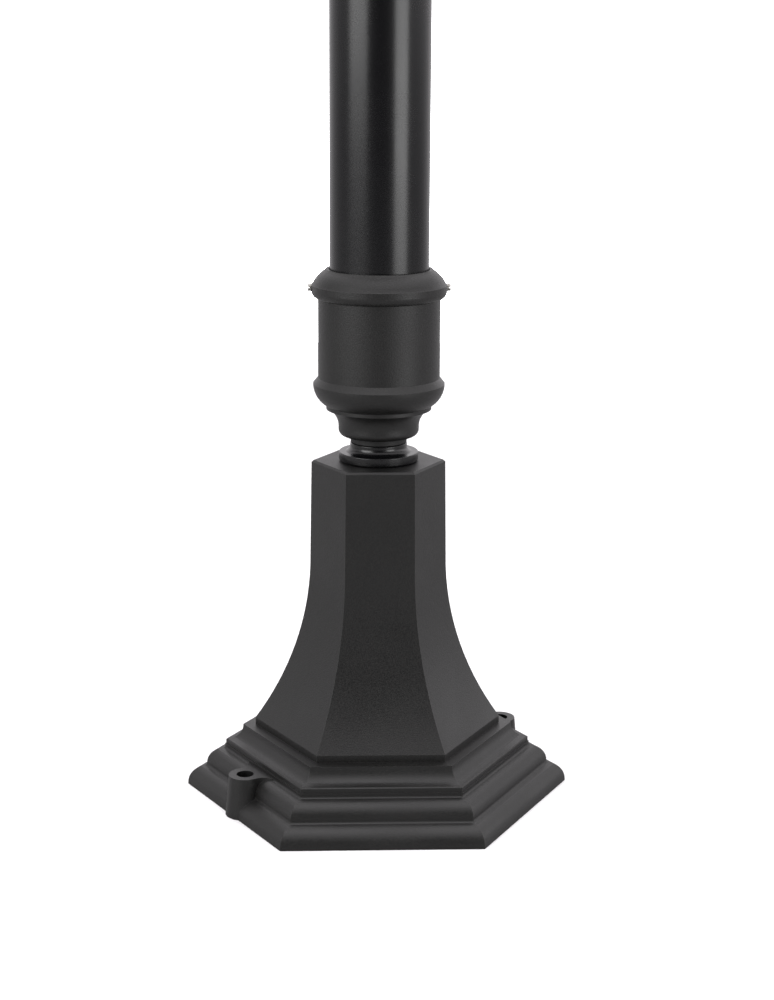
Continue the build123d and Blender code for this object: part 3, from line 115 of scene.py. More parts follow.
def object_noise(tree, size_mm, detail=2.0, stretch=(1.0, 1.0, 1.0)):
    """Noise whose lumps are about size_mm across, fixed to the piece."""
    place = add_node(tree, "ShaderNodeTexCoord")
    scaled = add_node(
        tree, "ShaderNodeMapping", {"Scale": stretch}, {"Vector": place.outputs["Object"]}
    )
    lumps_per_metre = 1.0 / (size_mm * MM)
    return add_node(
        tree,
        "ShaderNodeTexNoise",
        {"Scale": lumps_per_metre, "Detail": detail},
        {"Vector": scaled.outputs["Vector"]},
    )


def ramp(tree, source, low, high, from_low=0.35, from_high=0.65):
    """Maps a texture's useful middle range onto low..high."""
    return add_node(
        tree,
        "ShaderNodeMapRange",
        {"From Min": from_low, "From Max": from_high, "To Min": low, "To Max": high},
        {"Value": source},
    )


print("black powder, linear:", [round(v, 4) for v in linear("#0a0a0a")[:3]])

# %% [markdown]
# ## Powder coat
#
# The post is cast and drawn metal under black polyester powder. The powder is blown on dry and
# melts in an oven, so it flows into a skin with a fine pebble, the orange peel. On castings a
# textured powder hides the sand's marks: its grains are under half a millimetre, and they break
# every reflection into a soft sheen. On the drawn tube and on turned pieces the skin is
# smoother, and reflections keep their edges. One recipe with three settings makes all of these.

# %% Powder coat recipe
PEEL_IN_GRAINS = 6
PEEL_HEIGHT_MM = 0.01


def powder_coat(name, colours, grain_mm, grain_height_mm, roughness, spread):
    """Baked polyester powder: a plastic skin, IOR 1.5, pebbled by its grain and its flow."""
    material, tree = new_material(name)
    grain = object_noise(tree, grain_mm, detail=1.0)
    peel = object_noise(tree, PEEL_IN_GRAINS * grain_mm, detail=2.0)
    cloud = object_noise(tree, size_mm=60.0, detail=3.0)
    tone = add_node(
        tree,
        "ShaderNodeMixRGB",
        {"Color1": linear(colours[0]), "Color2": linear(colours[1])},
        {"Fac": ramp(tree, grain.outputs["Fac"], 0.0, 1.0).outputs["Result"]},
    )
    gloss = add_node(
        tree,
        "ShaderNodeMath",
        {"operation": "ADD"},
        {
            0: ramp(
                tree, cloud.outputs["Fac"], roughness - spread, roughness + spread
            ).outputs["Result"],
            1: ramp(tree, grain.outputs["Fac"], -spread, spread).outputs["Result"],
        },
    )
    flow = add_node(
        tree,
        "ShaderNodeBump",
        {"Strength": 1.0, "Distance": PEEL_HEIGHT_MM * MM},
        {"Height": peel.outputs["Fac"]},
    )
    pebble = add_node(
        tree,
        "ShaderNodeBump",
        {"Strength": 1.0, "Distance": grain_height_mm * MM},
        {"Height": grain.outputs["Fac"], "Normal": flow.outputs["Normal"]},
    )
    skin = add_node(
        tree,
        "ShaderNodeBsdfPrincipled",
        {"IOR": 1.5},
        {
            "Base Color": tone.outputs["Color"],
            "Roughness": gloss.outputs["Value"],
            "Normal": pebble.outputs["Normal"],
        },
    )
    finish_material(tree, skin)
    return material


# Textured powder on castings. Its grain is drawn at 0.8 mm, about twice its real size, because
# finer grain would not show at this distance.
casting_coat = powder_coat(
    "textured_powder_coated_casting",
    ("#0a0a0a", "#11110f"),
    grain_mm=0.8,
    grain_height_mm=0.10,
    roughness=0.45,
    spread=0.04,
)
# Smooth satin powder on the drawn aluminium tube.
tube_coat = powder_coat(
    "satin_powder_coated_tube",
    ("#08080a", "#0b0b0d"),
    grain_mm=0.7,
    grain_height_mm=0.008,
    roughness=0.26,
    spread=0.02,
)
# Smooth, glossier powder on turned pieces.
turned_coat = powder_coat(
    "gloss_powder_coated_turning",
    ("#08080a", "#0b0b0c"),
    grain_mm=0.7,
    grain_height_mm=0.008,
    roughness=0.24,
    spread=0.02,
)
print("powder coats:", casting_coat.name, tube_coat.name, turned_coat.name)

# %% [markdown]
# ## Bare metals
#
# Fasteners are zinc plated or stainless, turned on a lathe or rolled, so they carry very fine
# rings and scratches. Clock plates and wheels are brass, brushed with a straight grain. A metal
# gets its colour from its reflection, so the base colour is the metal's own and metallic is 1.

# %% Metal recipe
SCRATCH_DEPTH_MM = 0.01


def bare_metal(name, colours, grain_mm, stretch, roughness, spread=0.06):
    """Metal with a directional grain: a stretched noise changes roughness and height."""
    material, tree = new_material(name)
    grain = object_noise(tree, grain_mm, detail=3.0, stretch=stretch)
    cloud = object_noise(tree, size_mm=9.0, detail=2.0)
    tone = add_node(
        tree,
        "ShaderNodeMixRGB",
        {"Color1": linear(colours[0]), "Color2": linear(colours[1])},
        {"Fac": ramp(tree, cloud.outputs["Fac"], 0.0, 1.0).outputs["Result"]},
    )
    scratches = add_node(
        tree,
        "ShaderNodeBump",
        {"Strength": 0.6, "Distance": SCRATCH_DEPTH_MM * MM},
        {"Height": grain.outputs["Fac"]},
    )
    surface = add_node(
        tree,
        "ShaderNodeBsdfPrincipled",
        {"Metallic": 1.0},
        {
            "Base Color": tone.outputs["Color"],
            "Roughness": ramp(
                tree, grain.outputs["Fac"], roughness - spread, roughness + spread
            ).outputs["Result"],
            "Normal": scratches.outputs["Normal"],
        },
    )
    finish_material(tree, surface)
    return material


# Zinc plate is bluish and a little cloudy.
zinc_plate = bare_metal("zinc_plated_steel", ("#a9adb0", "#c2c5c6"), 0.5, (1, 1, 6), 0.34)
# Stainless steel, turned: brighter and cleaner than zinc.
stainless = bare_metal("turned_stainless_steel", ("#b9b8b4", "#cfceca"), 0.4, (6, 1, 1), 0.26)
# Brushed brass for plates and wheels: the grain runs level across them.
clock_brass = bare_metal("brushed_clock_brass", ("#b58a3c", "#c99e50"), 0.5, (1, 1, 8), 0.30)
# Rolled aluminium, left bare inside the drum.
mill_aluminium = bare_metal("mill_finish_aluminium", ("#a4a5a7", "#b7b8b9"), 0.6, (1, 1, 5), 0.42)
print("metals:", zinc_plate.name, stainless.name, clock_brass.name, mill_aluminium.name)

# %% [markdown]
# ## Rubber, nylon, enamel, ink and glass
#
# The seals are black EPDM rubber, dull and faintly powdery with bloom. The swivel rings and the
# terminal block are moulded nylon, with a fine spark-eroded texture. The dials are aluminium
# under white stove enamel, slightly uneven in tone as it yellows with sun. The glass is plain
# float glass with dust too thin to see except as a trace of roughness.

# %% Plastics, rubber and enamel
def moulded(name, colours, grain_mm, height_mm, roughness, ior, spread=0.05):
    """A moulded or stoved skin: two close tones and a fine even texture."""
    material, tree = new_material(name)
    grain = object_noise(tree, grain_mm, detail=2.0)
    cloud = object_noise(tree, size_mm=35.0, detail=3.0)
    tone = add_node(
        tree,
        "ShaderNodeMixRGB",
        {"Color1": linear(colours[0]), "Color2": linear(colours[1])},
        {"Fac": ramp(tree, cloud.outputs["Fac"], 0.0, 1.0).outputs["Result"]},
    )
    texture = add_node(
        tree,
        "ShaderNodeBump",
        {"Strength": 1.0, "Distance": height_mm * MM},
        {"Height": grain.outputs["Fac"]},
    )
    skin = add_node(
        tree,
        "ShaderNodeBsdfPrincipled",
        {"IOR": ior},
        {
            "Base Color": tone.outputs["Color"],
            "Roughness": ramp(
                tree, grain.outputs["Fac"], roughness - spread, roughness + spread
            ).outputs["Result"],
            "Normal": texture.outputs["Normal"],
        },
    )
    finish_material(tree, skin)
    return material


seal_rubber = moulded("moulded_epdm_rubber", ("#141414", "#1c1c1b"), 0.6, 0.02, 0.72, 1.52)
black_nylon = moulded("moulded_black_nylon", ("#050505", "#080808"), 0.5, 0.02, 0.60, 1.53)
white_nylon = moulded("moulded_white_nylon", ("#d8d6cc", "#e2e0d8"), 0.5, 0.02, 0.50, 1.53)
grey_abs = moulded("moulded_grey_abs", ("#8b8d8c", "#959796"), 0.8, 0.03, 0.55, 1.53)
dial_enamel = moulded("white_stove_enamel", ("#ece8db", "#f3f0e6"), 1.2, 0.004, 0.30, 1.52)
dial_ink = moulded("black_screen_printed_ink", ("#0d0d0e", "#131313"), 0.4, 0.006, 0.50, 1.50)
hand_lacquer = moulded("black_lacquered_aluminium", ("#0a0a0a", "#101011"), 0.7, 0.006, 0.32, 1.50)


# %% Cover glass
def float_glass(name):
    """Clear float glass, IOR 1.52, with a trace of dust in its roughness."""
    material, tree = new_material(name)
    dust = object_noise(tree, size_mm=4.0, detail=4.0)
    pane = add_node(
        tree,
        "ShaderNodeBsdfPrincipled",
        {"Base Color": linear("#fbfdfc"), "IOR": 1.52, "Transmission Weight": 1.0},
        {"Roughness": ramp(tree, dust.outputs["Fac"], low=0.0, high=0.03).outputs["Result"]},
    )
    finish_material(tree, pane)
    return material


cover_glass = float_glass("clear_float_glass")
print("skins and glass:", dial_enamel.name, seal_rubber.name, cover_glass.name)

# %% [markdown]
# ## Give every CAD node its finish
#
# Each node keeps its CAD shape unless a later step replaces it. The table below says which
# finish each one has, by the material slot that the record gives it.

# %% Finishes by slot
FINISH = {
    "cast_iron_coat": casting_coat,
    "cast_coat": casting_coat,
    "case_coat": casting_coat,
    "turned_coat": turned_coat,
    "tube_coat": tube_coat,
    "swivel_nylon": black_nylon,
    "zinc_steel": zinc_plate,
    "stainless": stainless,
    "grommet_rubber": seal_rubber,
    "gasket_rubber": seal_rubber,
    "earth_brass": clock_brass,
    "clock_brass": clock_brass,
    "hand_nut_brass": clock_brass,
    "dial_enamel": dial_enamel,
    "ring_aluminium": mill_aluminium,
    "hand_lacquer": hand_lacquer,
    "cover_glass": cover_glass,
    "motor_case": grey_abs,
    "terminal_nylon": white_nylon,
}
SLOT_OF = {part["node"]: part["material_slot"] for part in frame["record"]["subparts"]}
BODY_OF = {
    node: body
    for body, nodes in frame["record"]["behaviour"]["bodies"].items()
    for node in nodes
}
for node_name, node_object in frame["nodes"].items():
    node_object.data.materials.clear()
    node_object.data.materials.append(FINISH[SLOT_OF[node_name]])
print("nodes with a finish:", len(frame["nodes"]))


# %% [markdown]
# ## Eased edges
#
# No casting has a knife edge. The pattern has small radii so that sand and metal can flow, and
# powder rounds what is left. CAD leaves edges sharp, so a copy of the mesh is welded, its flat
# faces are joined, and a Bevel modifier rounds every edge over a set angle. A second modifier
# weights each corner's normal by the size of its faces, so that flats stay flat and turned
# barrels stay round. The copy then stands in for the CAD node.

# %% Edge easing tool
WELD_MM = 0.002
FLAT_WITHIN_DEGREES = 0.4
EDGE_OVER_DEGREES = 24.0
EDGE_SEGMENTS = 3


def new_piece(name, mesh, body, material):
    """Puts a finished mesh into the scene as a piece that rides on a body."""
    piece = bpy.data.objects.new(name, mesh)
    bpy.context.scene.collection.objects.link(piece)
    mesh.materials.clear()
    mesh.materials.append(material)
    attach(piece, body)
    return piece


def applied_mesh(host):
    """The host's mesh with its modifiers applied, as a plain mesh; the host is removed."""
    bpy.context.view_layer.update()
    depsgraph = bpy.context.evaluated_depsgraph_get()
    mesh = bpy.data.meshes.new_from_object(host.evaluated_get(depsgraph), depsgraph=depsgraph)
    bpy.data.objects.remove(host)
    return mesh


def eased(node, width_mm):
    """Replaces a CAD node by a copy with rounded edges."""
    shape = bmesh.new()
    shape.from_mesh(frame["nodes"][node].data)
    bmesh.ops.remove_doubles(shape, verts=shape.verts, dist=WELD_MM * MM)
    bmesh.ops.dissolve_limit(
        shape,
        angle_limit=radians(FLAT_WITHIN_DEGREES),
        verts=shape.verts,
        edges=shape.edges,
        use_dissolve_boundaries=False,
    )
    for face in shape.faces:
        face.smooth = True
    mesh = bpy.data.meshes.new(node + "_eased")
    shape.to_mesh(mesh)
    shape.free()
    host = bpy.data.objects.new(node + "_host", mesh)
    bpy.context.scene.collection.objects.link(host)
    bevel = host.modifiers.new("edge radius", "BEVEL")
    bevel.width = width_mm * MM
    bevel.segments = EDGE_SEGMENTS
    bevel.limit_method = "ANGLE"
    bevel.angle_limit = radians(EDGE_OVER_DEGREES)
    bevel.use_clamp_overlap = True
    flats = host.modifiers.new("flat faces stay flat", "WEIGHTED_NORMAL")
    flats.keep_sharp = True
    piece = new_piece(
        node + "_coated", applied_mesh(host), BODY_OF[node], FINISH[SLOT_OF[node]]
    )
    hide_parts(node)
    print(node, "eased by", width_mm, "mm:", len(piece.data.polygons), "faces")


# %% Ease the castings
EDGE_RADIUS_MM = {
    "base_casting": 0.9,
    "lower_collar": 0.6,
    "upper_collar": 0.6,
    "head_saddle": 1.2,
    "drum_shell": 0.8,
    "front_bezel": 0.8,
    "rear_bezel": 0.8,
    "foot_spool": 0.5,
    "head_spool": 0.5,
    "front_hour_hand": 0.3,
    "rear_hour_hand": 0.3,
    "front_minute_hand": 0.3,
    "rear_minute_hand": 0.3,
}
for node_name, edge_radius in EDGE_RADIUS_MM.items():
    eased(node_name, edge_radius)

# %% [markdown]
# ## Set screws with real threads
#
# Each collar is clamped by two M5 grub screws whose ends stand a little proud of the bead. A
# screw thread is a V-shaped groove wound round a rod: at every angle the groove has moved on by
# the same share of the pitch. So the mesh is a grid of rings along the axis, and the radius of
# each point depends on its place along the axis minus its turn. A slot crosses the end.

# %% Thread a screw
M5_PITCH = 0.8 * MM
SLOT_WIDTH = 0.9 * MM
SLOT_DEPTH = 1.3 * MM
# A metric thread is 0.61 of its pitch deep. This one is drawn a tenth shallower.
DEPTH_SHARE = 0.61 * 0.9
STEPS_ROUND = 32
STEPS_A_PITCH = 8


def threaded_rod(length, radius, pitch):
    """A threaded rod along +X from the origin, tapered at both ends, as a bmesh."""
    thread_depth = DEPTH_SHARE * pitch
    taper_depth = 0.8 * MM
    taper_length = 0.75 * pitch
    core_radius = 0.5 * radius
    rings = round(length * STEPS_A_PITCH / pitch) + 1
    rod = bmesh.new()
    grid = []
    for ring in range(rings):
        along = length * ring / (rings - 1)
        end_taper = max(0.0, 1.0 - min(along, length - along) / taper_length) * taper_depth
        row = []
        for step in range(STEPS_ROUND):
            turn = step / STEPS_ROUND
            crest = abs((along / pitch - turn) % 1.0 - 0.5) * 2.0
            reach = max(radius - thread_depth * (1.0 - crest) - end_taper, core_radius)
            row.append(
                rod.verts.new((along, reach * cos(2 * pi * turn), reach * sin(2 * pi * turn)))
            )
        grid.append(row)
    for low, high in zip(grid, grid[1:]):
        for step in range(STEPS_ROUND):
            after = (step + 1) % STEPS_ROUND
            rod.faces.new((low[step], low[after], high[after], high[step]))
    rod.faces.new(list(reversed(grid[0])))
    rod.faces.new(grid[-1])
    bmesh.ops.recalc_face_normals(rod, faces=rod.faces)
    return rod


def cut_slot(rod, length, radius, width, depth):
    """The threaded rod with a slot across its far end, as a mesh."""
    mesh = bpy.data.meshes.new("threaded rod")
    rod.to_mesh(mesh)
    rod.free()
    host = bpy.data.objects.new("threaded rod", mesh)
    bpy.context.scene.collection.objects.link(host)
    # The block is centred on the rod's end, so half of its length makes the slot's depth.
    block = bmesh.new()
    bmesh.ops.create_cube(block, size=1.0)
    bmesh.ops.scale(block, vec=(2 * depth, 3 * radius, width), verts=block.verts)
    bmesh.ops.translate(block, vec=(length, 0, 0), verts=block.verts)
    block_mesh = bpy.data.meshes.new("slot")
    block.to_mesh(block_mesh)
    block.free()
    cutter = bpy.data.objects.new("slot", block_mesh)
    bpy.context.scene.collection.objects.link(cutter)
    cut = host.modifiers.new("slot", "BOOLEAN")
    cut.object = cutter
    cut.operation = "DIFFERENCE"
    cut.solver = "EXACT"
    cut_mesh = applied_mesh(host)
    bpy.data.objects.remove(cutter)
    return cut_mesh


# %% Place the four screws
for screw_name in [name for name in frame["nodes"] if "_set_screw_" in name]:
    low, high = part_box(screw_name)
    screw_radius = (high[2] - low[2]) / 2
    screw_length = high[0] - low[0]
    rod = threaded_rod(screw_length, screw_radius, M5_PITCH)
    screw_mesh = cut_slot(rod, screw_length, screw_radius, SLOT_WIDTH, SLOT_DEPTH)
    on_right = low[0] > 0
    start = low[0] if on_right else high[0]
    outward = Matrix.Rotation(0.0 if on_right else pi, 4, "Z")
    screw_mesh.transform(Matrix.Translation((start, 0.0, (low[2] + high[2]) / 2)) @ outward)
    screw = new_piece(
        screw_name + "_threaded", screw_mesh, BODY_OF[screw_name], stainless
    )
    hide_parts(screw_name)

# %% [markdown]
# ## Print the dials
#
# A dial is printed in one go: a ring of sixty minute strokes, twelve bolder hour strokes, two
# fine circles and the numerals. Whatever repeats round a circle is one Geometry Nodes recipe:
# points on a circle, one bar on each point, turned to face the middle. Screen ink is only a few
# hundredths of a millimetre thick. Here it stands 0.15 to 0.18 mm proud, so that its edge shows.

# %% A recipe for strokes round a circle
def strokes_recipe():
    """Geometry Nodes group: Count bars on a circle of Radius, each pointing at the middle."""
    tree = bpy.data.node_groups.new("strokes round a circle", "GeometryNodeTree")
    face = tree.interface
    sockets = {}
    for name, kind, value in (
        ("Count", "NodeSocketInt", 60),
        ("Radius", "NodeSocketFloat", 0.1),
        ("Width", "NodeSocketFloat", 0.001),
        ("Length", "NodeSocketFloat", 0.006),
        ("Thickness", "NodeSocketFloat", 0.0002),
    ):
        socket = face.new_socket(name=name, in_out="INPUT", socket_type=kind)
        socket.default_value = value
        sockets[name] = socket.identifier
    material = face.new_socket(name="Ink", in_out="INPUT", socket_type="NodeSocketMaterial")
    sockets["Ink"] = material.identifier
    face.new_socket(name="Strokes", in_out="OUTPUT", socket_type="NodeSocketGeometry")
    given = add_node(tree, "NodeGroupInput").outputs
    ring = add_node(
        tree, "GeometryNodeMeshCircle", links={"Vertices": given["Count"], "Radius": given["Radius"]}
    )
    size = add_node(
        tree,
        "ShaderNodeCombineXYZ",
        links={"X": given["Width"], "Y": given["Length"], "Z": given["Thickness"]},
    )
    bar = add_node(tree, "GeometryNodeMeshCube", links={"Size": size.outputs["Vector"]})
    place = add_node(tree, "GeometryNodeInputPosition")
    facing = add_node(
        tree,
        "FunctionNodeAlignRotationToVector",
        {"axis": "Y"},
        {"Vector": place.outputs["Position"]},
    )
    copies = add_node(
        tree,
        "GeometryNodeInstanceOnPoints",
        links={
            "Points": ring.outputs["Mesh"],
            "Instance": bar.outputs["Mesh"],
            "Rotation": facing.outputs["Rotation"],
        },
    )
    real = add_node(
        tree, "GeometryNodeRealizeInstances", links={"Geometry": copies.outputs["Instances"]}
    )
    inked = add_node(
        tree,
        "GeometryNodeSetMaterial",
        links={"Geometry": real.outputs["Geometry"], "Material": given["Ink"]},
    )
    add_node(tree, "NodeGroupOutput", links={"Strokes": inked.outputs["Geometry"]})
    return tree, sockets


STROKES, STROKE_INPUTS = strokes_recipe()


def strokes(count, radius_mm, width_mm, length_mm, thickness_mm, material):
    """The recipe's result as a plain mesh, flat on XY round the origin."""
    host = bpy.data.objects.new("strokes", bpy.data.meshes.new("strokes"))
    bpy.context.scene.collection.objects.link(host)
    recipe = host.modifiers.new("strokes", "NODES")
    recipe.node_group = STROKES
    values = {
        "Count": count,
        "Radius": radius_mm * MM,
        "Width": width_mm * MM,
        "Length": length_mm * MM,
        "Thickness": thickness_mm * MM,
        "Ink": material,
    }
    for name, value in values.items():
        recipe[STROKE_INPUTS[name]] = value
    return applied_mesh(host)


print("recipe inputs:", list(STROKE_INPUTS))


# %% Circles and numerals
# A capital's share of the built-in font's size.
CAPITAL_SHARE = 0.72


def ring_mesh(inner_mm, outer_mm, thickness_mm, steps=180):
    """A flat closed ring on XY round the origin."""
    ring = bmesh.new()
    corners = (
        (inner_mm, 0.0),
        (outer_mm, 0.0),
        (outer_mm, thickness_mm),
        (inner_mm, thickness_mm),
    )
    loops = []
    for radius, level in corners:
        loop = []
        for step in range(steps):
            turn = 2 * pi * step / steps
            place = (radius * MM * cos(turn), radius * MM * sin(turn), level * MM)
            loop.append(ring.verts.new(place))
        loops.append(loop)
    for one, other in zip(loops, loops[1:] + loops[:1]):
        for step in range(steps):
            after = (step + 1) % steps
            ring.faces.new((one[step], one[after], other[after], other[step]))
    bmesh.ops.recalc_face_normals(ring, faces=ring.faces)
    mesh = bpy.data.meshes.new("ring")
    ring.to_mesh(mesh)
    ring.free()
    return mesh


def numeral_mesh(number, height_mm, distance_mm, thickness_mm):
    """One upright numeral at its hour, as a mesh on XY with its middle on the hour's line."""
    text = bpy.data.curves.new("numeral", "FONT")
    text.body = str(number)
    text.size = height_mm * MM / CAPITAL_SHARE
    text.extrude = thickness_mm * MM / 2
    text.align_x = "CENTER"
    text.align_y = "CENTER"
    host = bpy.data.objects.new("numeral", text)
    bpy.context.scene.collection.objects.link(host)
    mesh = applied_mesh(host)
    xs = [v.co.x for v in mesh.vertices]
    ys = [v.co.y for v in mesh.vertices]
    hour = 2 * pi * number / 12
    middle = Vector(((min(xs) + max(xs)) / 2, (min(ys) + max(ys)) / 2, -thickness_mm * MM / 2))
    target = Vector((sin(hour), cos(hour), 0.0)) * distance_mm * MM
    mesh.transform(Matrix.Translation(target - middle))
    return mesh


PRINT_WELD_MM = 0.001


def joined(name, meshes):
    """Several meshes in one."""
    whole = bmesh.new()
    for mesh in meshes:
        whole.from_mesh(mesh)
        bpy.data.meshes.remove(mesh)
    bmesh.ops.remove_doubles(whole, verts=whole.verts, dist=PRINT_WELD_MM * MM)
    result = bpy.data.meshes.new(name)
    whole.to_mesh(result)
    whole.free()
    return result


# %% Print both dials
def face_matrix(face):
    """From a flat drawing to the front of a dial: X right, Y up, Z out towards the reader."""
    low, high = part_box(face + "_dial")
    side = -1.0 if face == "front" else 1.0
    front = low[1] if side < 0 else high[1]
    middle = Vector((0.0, front, (low[2] + high[2]) / 2))
    right = Vector((-side, 0.0, 0.0))
    out = Vector((0.0, side, 0.0))
    return Matrix.Translation(middle) @ Matrix((right, out.cross(right), out)).transposed().to_4x4()


# Half of each stroke's thickness is sunk in the dial.
MINUTE_STROKE = {"radius_mm": 141.0, "width_mm": 1.1, "length_mm": 6.0, "thickness_mm": 0.30}
HOUR_STROKE = {"radius_mm": 140.0, "width_mm": 4.2, "length_mm": 9.0, "thickness_mm": 0.36}
OUTER_CIRCLE_MM = (146.0, 147.0)
INNER_CIRCLE_MM = (133.4, 134.2)
NUMERAL_HEIGHT_MM = 27.0
NUMERAL_RADIUS_MM = 113.0
INK_MM = 0.15
for face in ("front", "rear"):
    flat = [
        strokes(60, **MINUTE_STROKE, material=dial_ink),
        strokes(12, **HOUR_STROKE, material=dial_ink),
        ring_mesh(*OUTER_CIRCLE_MM, INK_MM),
        ring_mesh(*INNER_CIRCLE_MM, INK_MM),
    ]
    for number in range(1, 13):
        flat.append(numeral_mesh(number, NUMERAL_HEIGHT_MM, NUMERAL_RADIUS_MM, INK_MM))
    print_mesh = joined(face + "_print", flat)
    print_mesh.transform(face_matrix(face))
    new_piece(face + "_dial_print", print_mesh, "head", dial_ink)
    print(face, "dial print:", len(print_mesh.polygons), "faces")

# %% [markdown]
# ## The studio
#
# The object is black, so it shows almost nothing but what it reflects. A black post in a white
# room would turn grey, so a studio keeps the side behind the camera dark, hangs white behind
# the object, and puts one soft light on each side. Each light draws one soft upright band on
# the tube, and the white behind gives every silhouette a thin light rim. The exposure suits
# the black post, so the sheet and the walls come out plain white. Only the camera is shown
# them that white: what the post reflects are the grey sheet and the rings of brightness below.

# %% Floor
def stage_floor(radius, sides=96):
    """A plain pale round sheet under the object."""
    turns = [2 * pi * side / sides for side in range(sides)]
    rim = [(radius * cos(turn), radius * sin(turn), 0) for turn in turns]
    mesh = bpy.data.meshes.new("floor")
    mesh.from_pydata(rim, [], [tuple(range(sides))])
    material, tree = new_material("white_matt_sheet")
    tone = object_noise(tree, size_mm=300.0, detail=1.0)
    paper = add_node(
        tree,
        "ShaderNodeMixRGB",
        {"Color1": linear("#a6a6a6"), "Color2": linear("#aaaaaa")},
        {"Fac": tone.outputs["Fac"]},
    )
    # The camera sees overexposed paper, and reflections see the paper's own grey.
    seen = add_node(tree, "ShaderNodeLightPath")
    overexposed = add_node(
        tree,
        "ShaderNodeMixRGB",
        {"Color2": linear("#f7f7f7")},
        {"Fac": seen.outputs["Is Camera Ray"], "Color1": paper.outputs["Color"]},
    )
    sheet = add_node(
        tree,
        "ShaderNodeBsdfPrincipled",
        {"Roughness": 0.9, "Specular IOR Level": 0.0},
        {"Base Color": overexposed.outputs["Color"]},
    )
    finish_material(tree, sheet)
    mesh.materials.append(material)
    floor = bpy.data.objects.new("floor", mesh)
    bpy.context.scene.collection.objects.link(floor)


FLOOR_RADIUS = 1.7
stage_floor(FLOOR_RADIUS)


# %% Lights
def softbox(name, azimuth, distance, height, width, tall, power, aim_height):
    """An area light. Azimuth 0 is on the camera's side, positive to its right."""
    lamp = bpy.data.lights.new(name, "AREA")
    lamp.shape = "RECTANGLE"
    lamp.size = width
    lamp.size_y = tall
    lamp.energy = power
    lamp_object = bpy.data.objects.new(name, lamp)
    angle = radians(azimuth)
    place = Vector((distance * sin(angle), -distance * cos(angle), height))
    aim = Vector((0.0, 0.0, aim_height)) - place
    facing = aim.to_track_quat("-Z", "Y").to_matrix().to_4x4()
    lamp_object.matrix_world = Matrix.Translation(place) @ facing
    bpy.context.scene.collection.objects.link(lamp_object)


SOFTBOX_DISTANCE = 2.2
# A large light on the left, about halfway up the post.
softbox(
    "left_softbox",
    azimuth=-52,
    distance=SOFTBOX_DISTANCE,
    height=1.05,
    width=1.7,
    tall=1.3,
    power=34.0,
    aim_height=1.0,
)
# A smaller, weaker one on the right, about level with the lower collar.
softbox(
    "right_softbox",
    azimuth=47,
    distance=SOFTBOX_DISTANCE,
    height=0.36,
    width=1.2,
    tall=0.7,
    power=12.5,
    aim_height=0.36,
)
print("softboxes:", len(bpy.data.lights))


# %% World
# Brightness of the studio's walls and ceiling, as the post reflects them, by height in degrees:
# behind the object, on its left, behind the camera and on its right.
SKY = {
    -4: (1.0, 0.3, 0.1, 0.3),
    13: (1.2, 0.9, 0.0, 2.0),
    28: (1.1, 0.2, 0.0, 0.5),
    46: (1.8, 0.9, 1.2, 1.4),
    80: (2.6, 2.6, 2.6, 2.6),
}
# Strengths are stored as shares of this, which is how bright the walls are to the camera.
SKY_SCALE = 5.0
WALL_WHITE = "#fffcff"


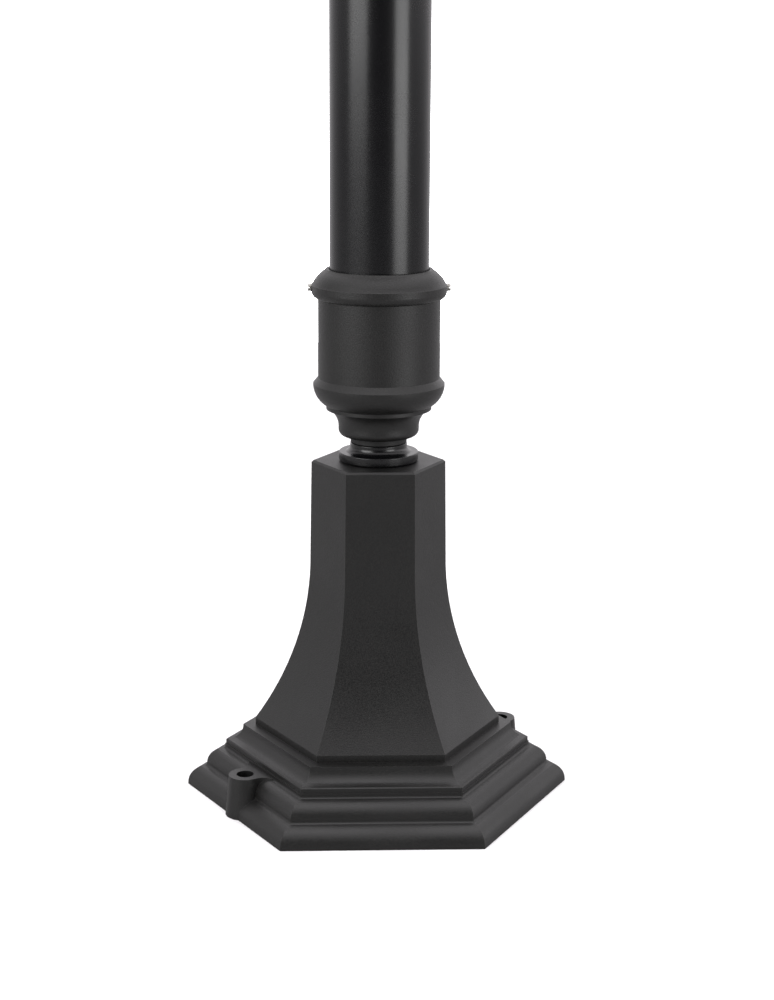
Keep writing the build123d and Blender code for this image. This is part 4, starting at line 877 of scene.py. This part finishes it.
def studio_world(sky, scale):
    """Studio walls from rings of brightness, blended from each ring to the next."""
    world = bpy.data.worlds.new("studio")
    bpy.context.scene.world = world
    world.use_nodes = True
    tree = world.node_tree
    tree.nodes.clear()
    direction = add_node(tree, "ShaderNodeTexCoord")
    parts = add_node(tree, "ShaderNodeSeparateXYZ", links={"Vector": direction.outputs["Generated"]})
    front = add_node(
        tree, "ShaderNodeMath", {"operation": "MULTIPLY", 1: -1.0}, {0: parts.outputs["Y"]}
    )
    turn = add_node(
        tree,
        "ShaderNodeMath",
        {"operation": "ARCTAN2"},
        {0: parts.outputs["X"], 1: front.outputs["Value"]},
    )
    along = add_node(
        tree,
        "ShaderNodeMapRange",
        {"From Min": -pi, "From Max": pi, "To Min": 0.0, "To Max": 1.0},
        {"Value": turn.outputs["Value"]},
    )
    height = add_node(tree, "ShaderNodeMath", {"operation": "ARCSINE"}, {0: parts.outputs["Z"]})
    level, below = None, None
    for degrees_up, walls in sky.items():
        ring = add_node(tree, "ShaderNodeValToRGB", links={"Fac": along.outputs["Result"]})
        ring.color_ramp.interpolation = "EASE"
        stops = ring.color_ramp.elements
        while len(stops) <= len(walls):
            stops.new(1.0)
        # The first wall comes again at the end, so that the ring closes.
        for quarter, (stop, strength) in enumerate(zip(stops, walls + walls[:1])):
            stop.position = quarter / len(walls)
            stop.color = [strength / scale * part for part in linear(WALL_WHITE)]
        if level is None:
            level = ring.outputs["Color"]
        else:
            rise = add_node(
                tree,
                "ShaderNodeMapRange",
                {
                    "interpolation_type": "SMOOTHSTEP",
                    "From Min": radians(below),
                    "From Max": radians(degrees_up),
                },
                {"Value": height.outputs["Value"]},
            )
            level = add_node(
                tree,
                "ShaderNodeMixRGB",
                links={
                    "Fac": rise.outputs["Result"],
                    "Color1": level,
                    "Color2": ring.outputs["Color"],
                },
            ).outputs["Color"]
        below = degrees_up
    # The camera sees overexposed walls, and reflections see the rings.
    seen = add_node(tree, "ShaderNodeLightPath")
    colour = add_node(
        tree,
        "ShaderNodeMixRGB",
        {"Color2": linear("#ffffff")},
        {"Fac": seen.outputs["Is Camera Ray"], "Color1": level},
    )
    light = add_node(
        tree,
        "ShaderNodeBackground",
        {"Strength": scale},
        {"Color": colour.outputs["Color"]},
    )
    add_node(tree, "ShaderNodeOutputWorld", links={"Surface": light.outputs["Background"]})


studio_world(SKY, SKY_SCALE)
bpy.context.scene.view_settings.view_transform = "Standard"
print("rings of studio light:", len(SKY))

# %% [markdown]
# ## The camera
#
# A short telephoto lens stands a little higher than the foot is tall and looks slightly down,
# so the three front flats and the steps of the plinth all show.

# %% Camera
CAMERA_PLACE = Vector((-0.0378, -1.1544, 0.4784))
CAMERA_FORWARD = Vector((0.0362, 0.9688, -0.2451))
CAMERA_ROLL = radians(0.31)
LENS_MM = 69.42
SENSOR_MM = 36.0


def studio_camera():
    """Camera a little over a metre in front of the foot."""
    camera = bpy.data.cameras.new("camera")
    camera.lens = LENS_MM
    camera.sensor_width = SENSOR_MM
    camera.clip_end = 100.0
    camera_object = bpy.data.objects.new("camera", camera)
    forward = CAMERA_FORWARD.normalized()
    right = forward.cross(Vector((0.0, 0.0, 1.0))).normalized()
    up = right.cross(forward)
    rolled_right = cos(CAMERA_ROLL) * right + sin(CAMERA_ROLL) * up
    rolled_up = cos(CAMERA_ROLL) * up - sin(CAMERA_ROLL) * right
    turn = Matrix((rolled_right, rolled_up, -forward)).transposed().to_4x4()
    camera_object.matrix_world = Matrix.Translation(CAMERA_PLACE) @ turn
    bpy.context.scene.collection.objects.link(camera_object)
    bpy.context.scene.camera = camera_object


studio_camera()
print("camera:", LENS_MM, "mm lens at", tuple(round(value, 3) for value in CAMERA_PLACE))
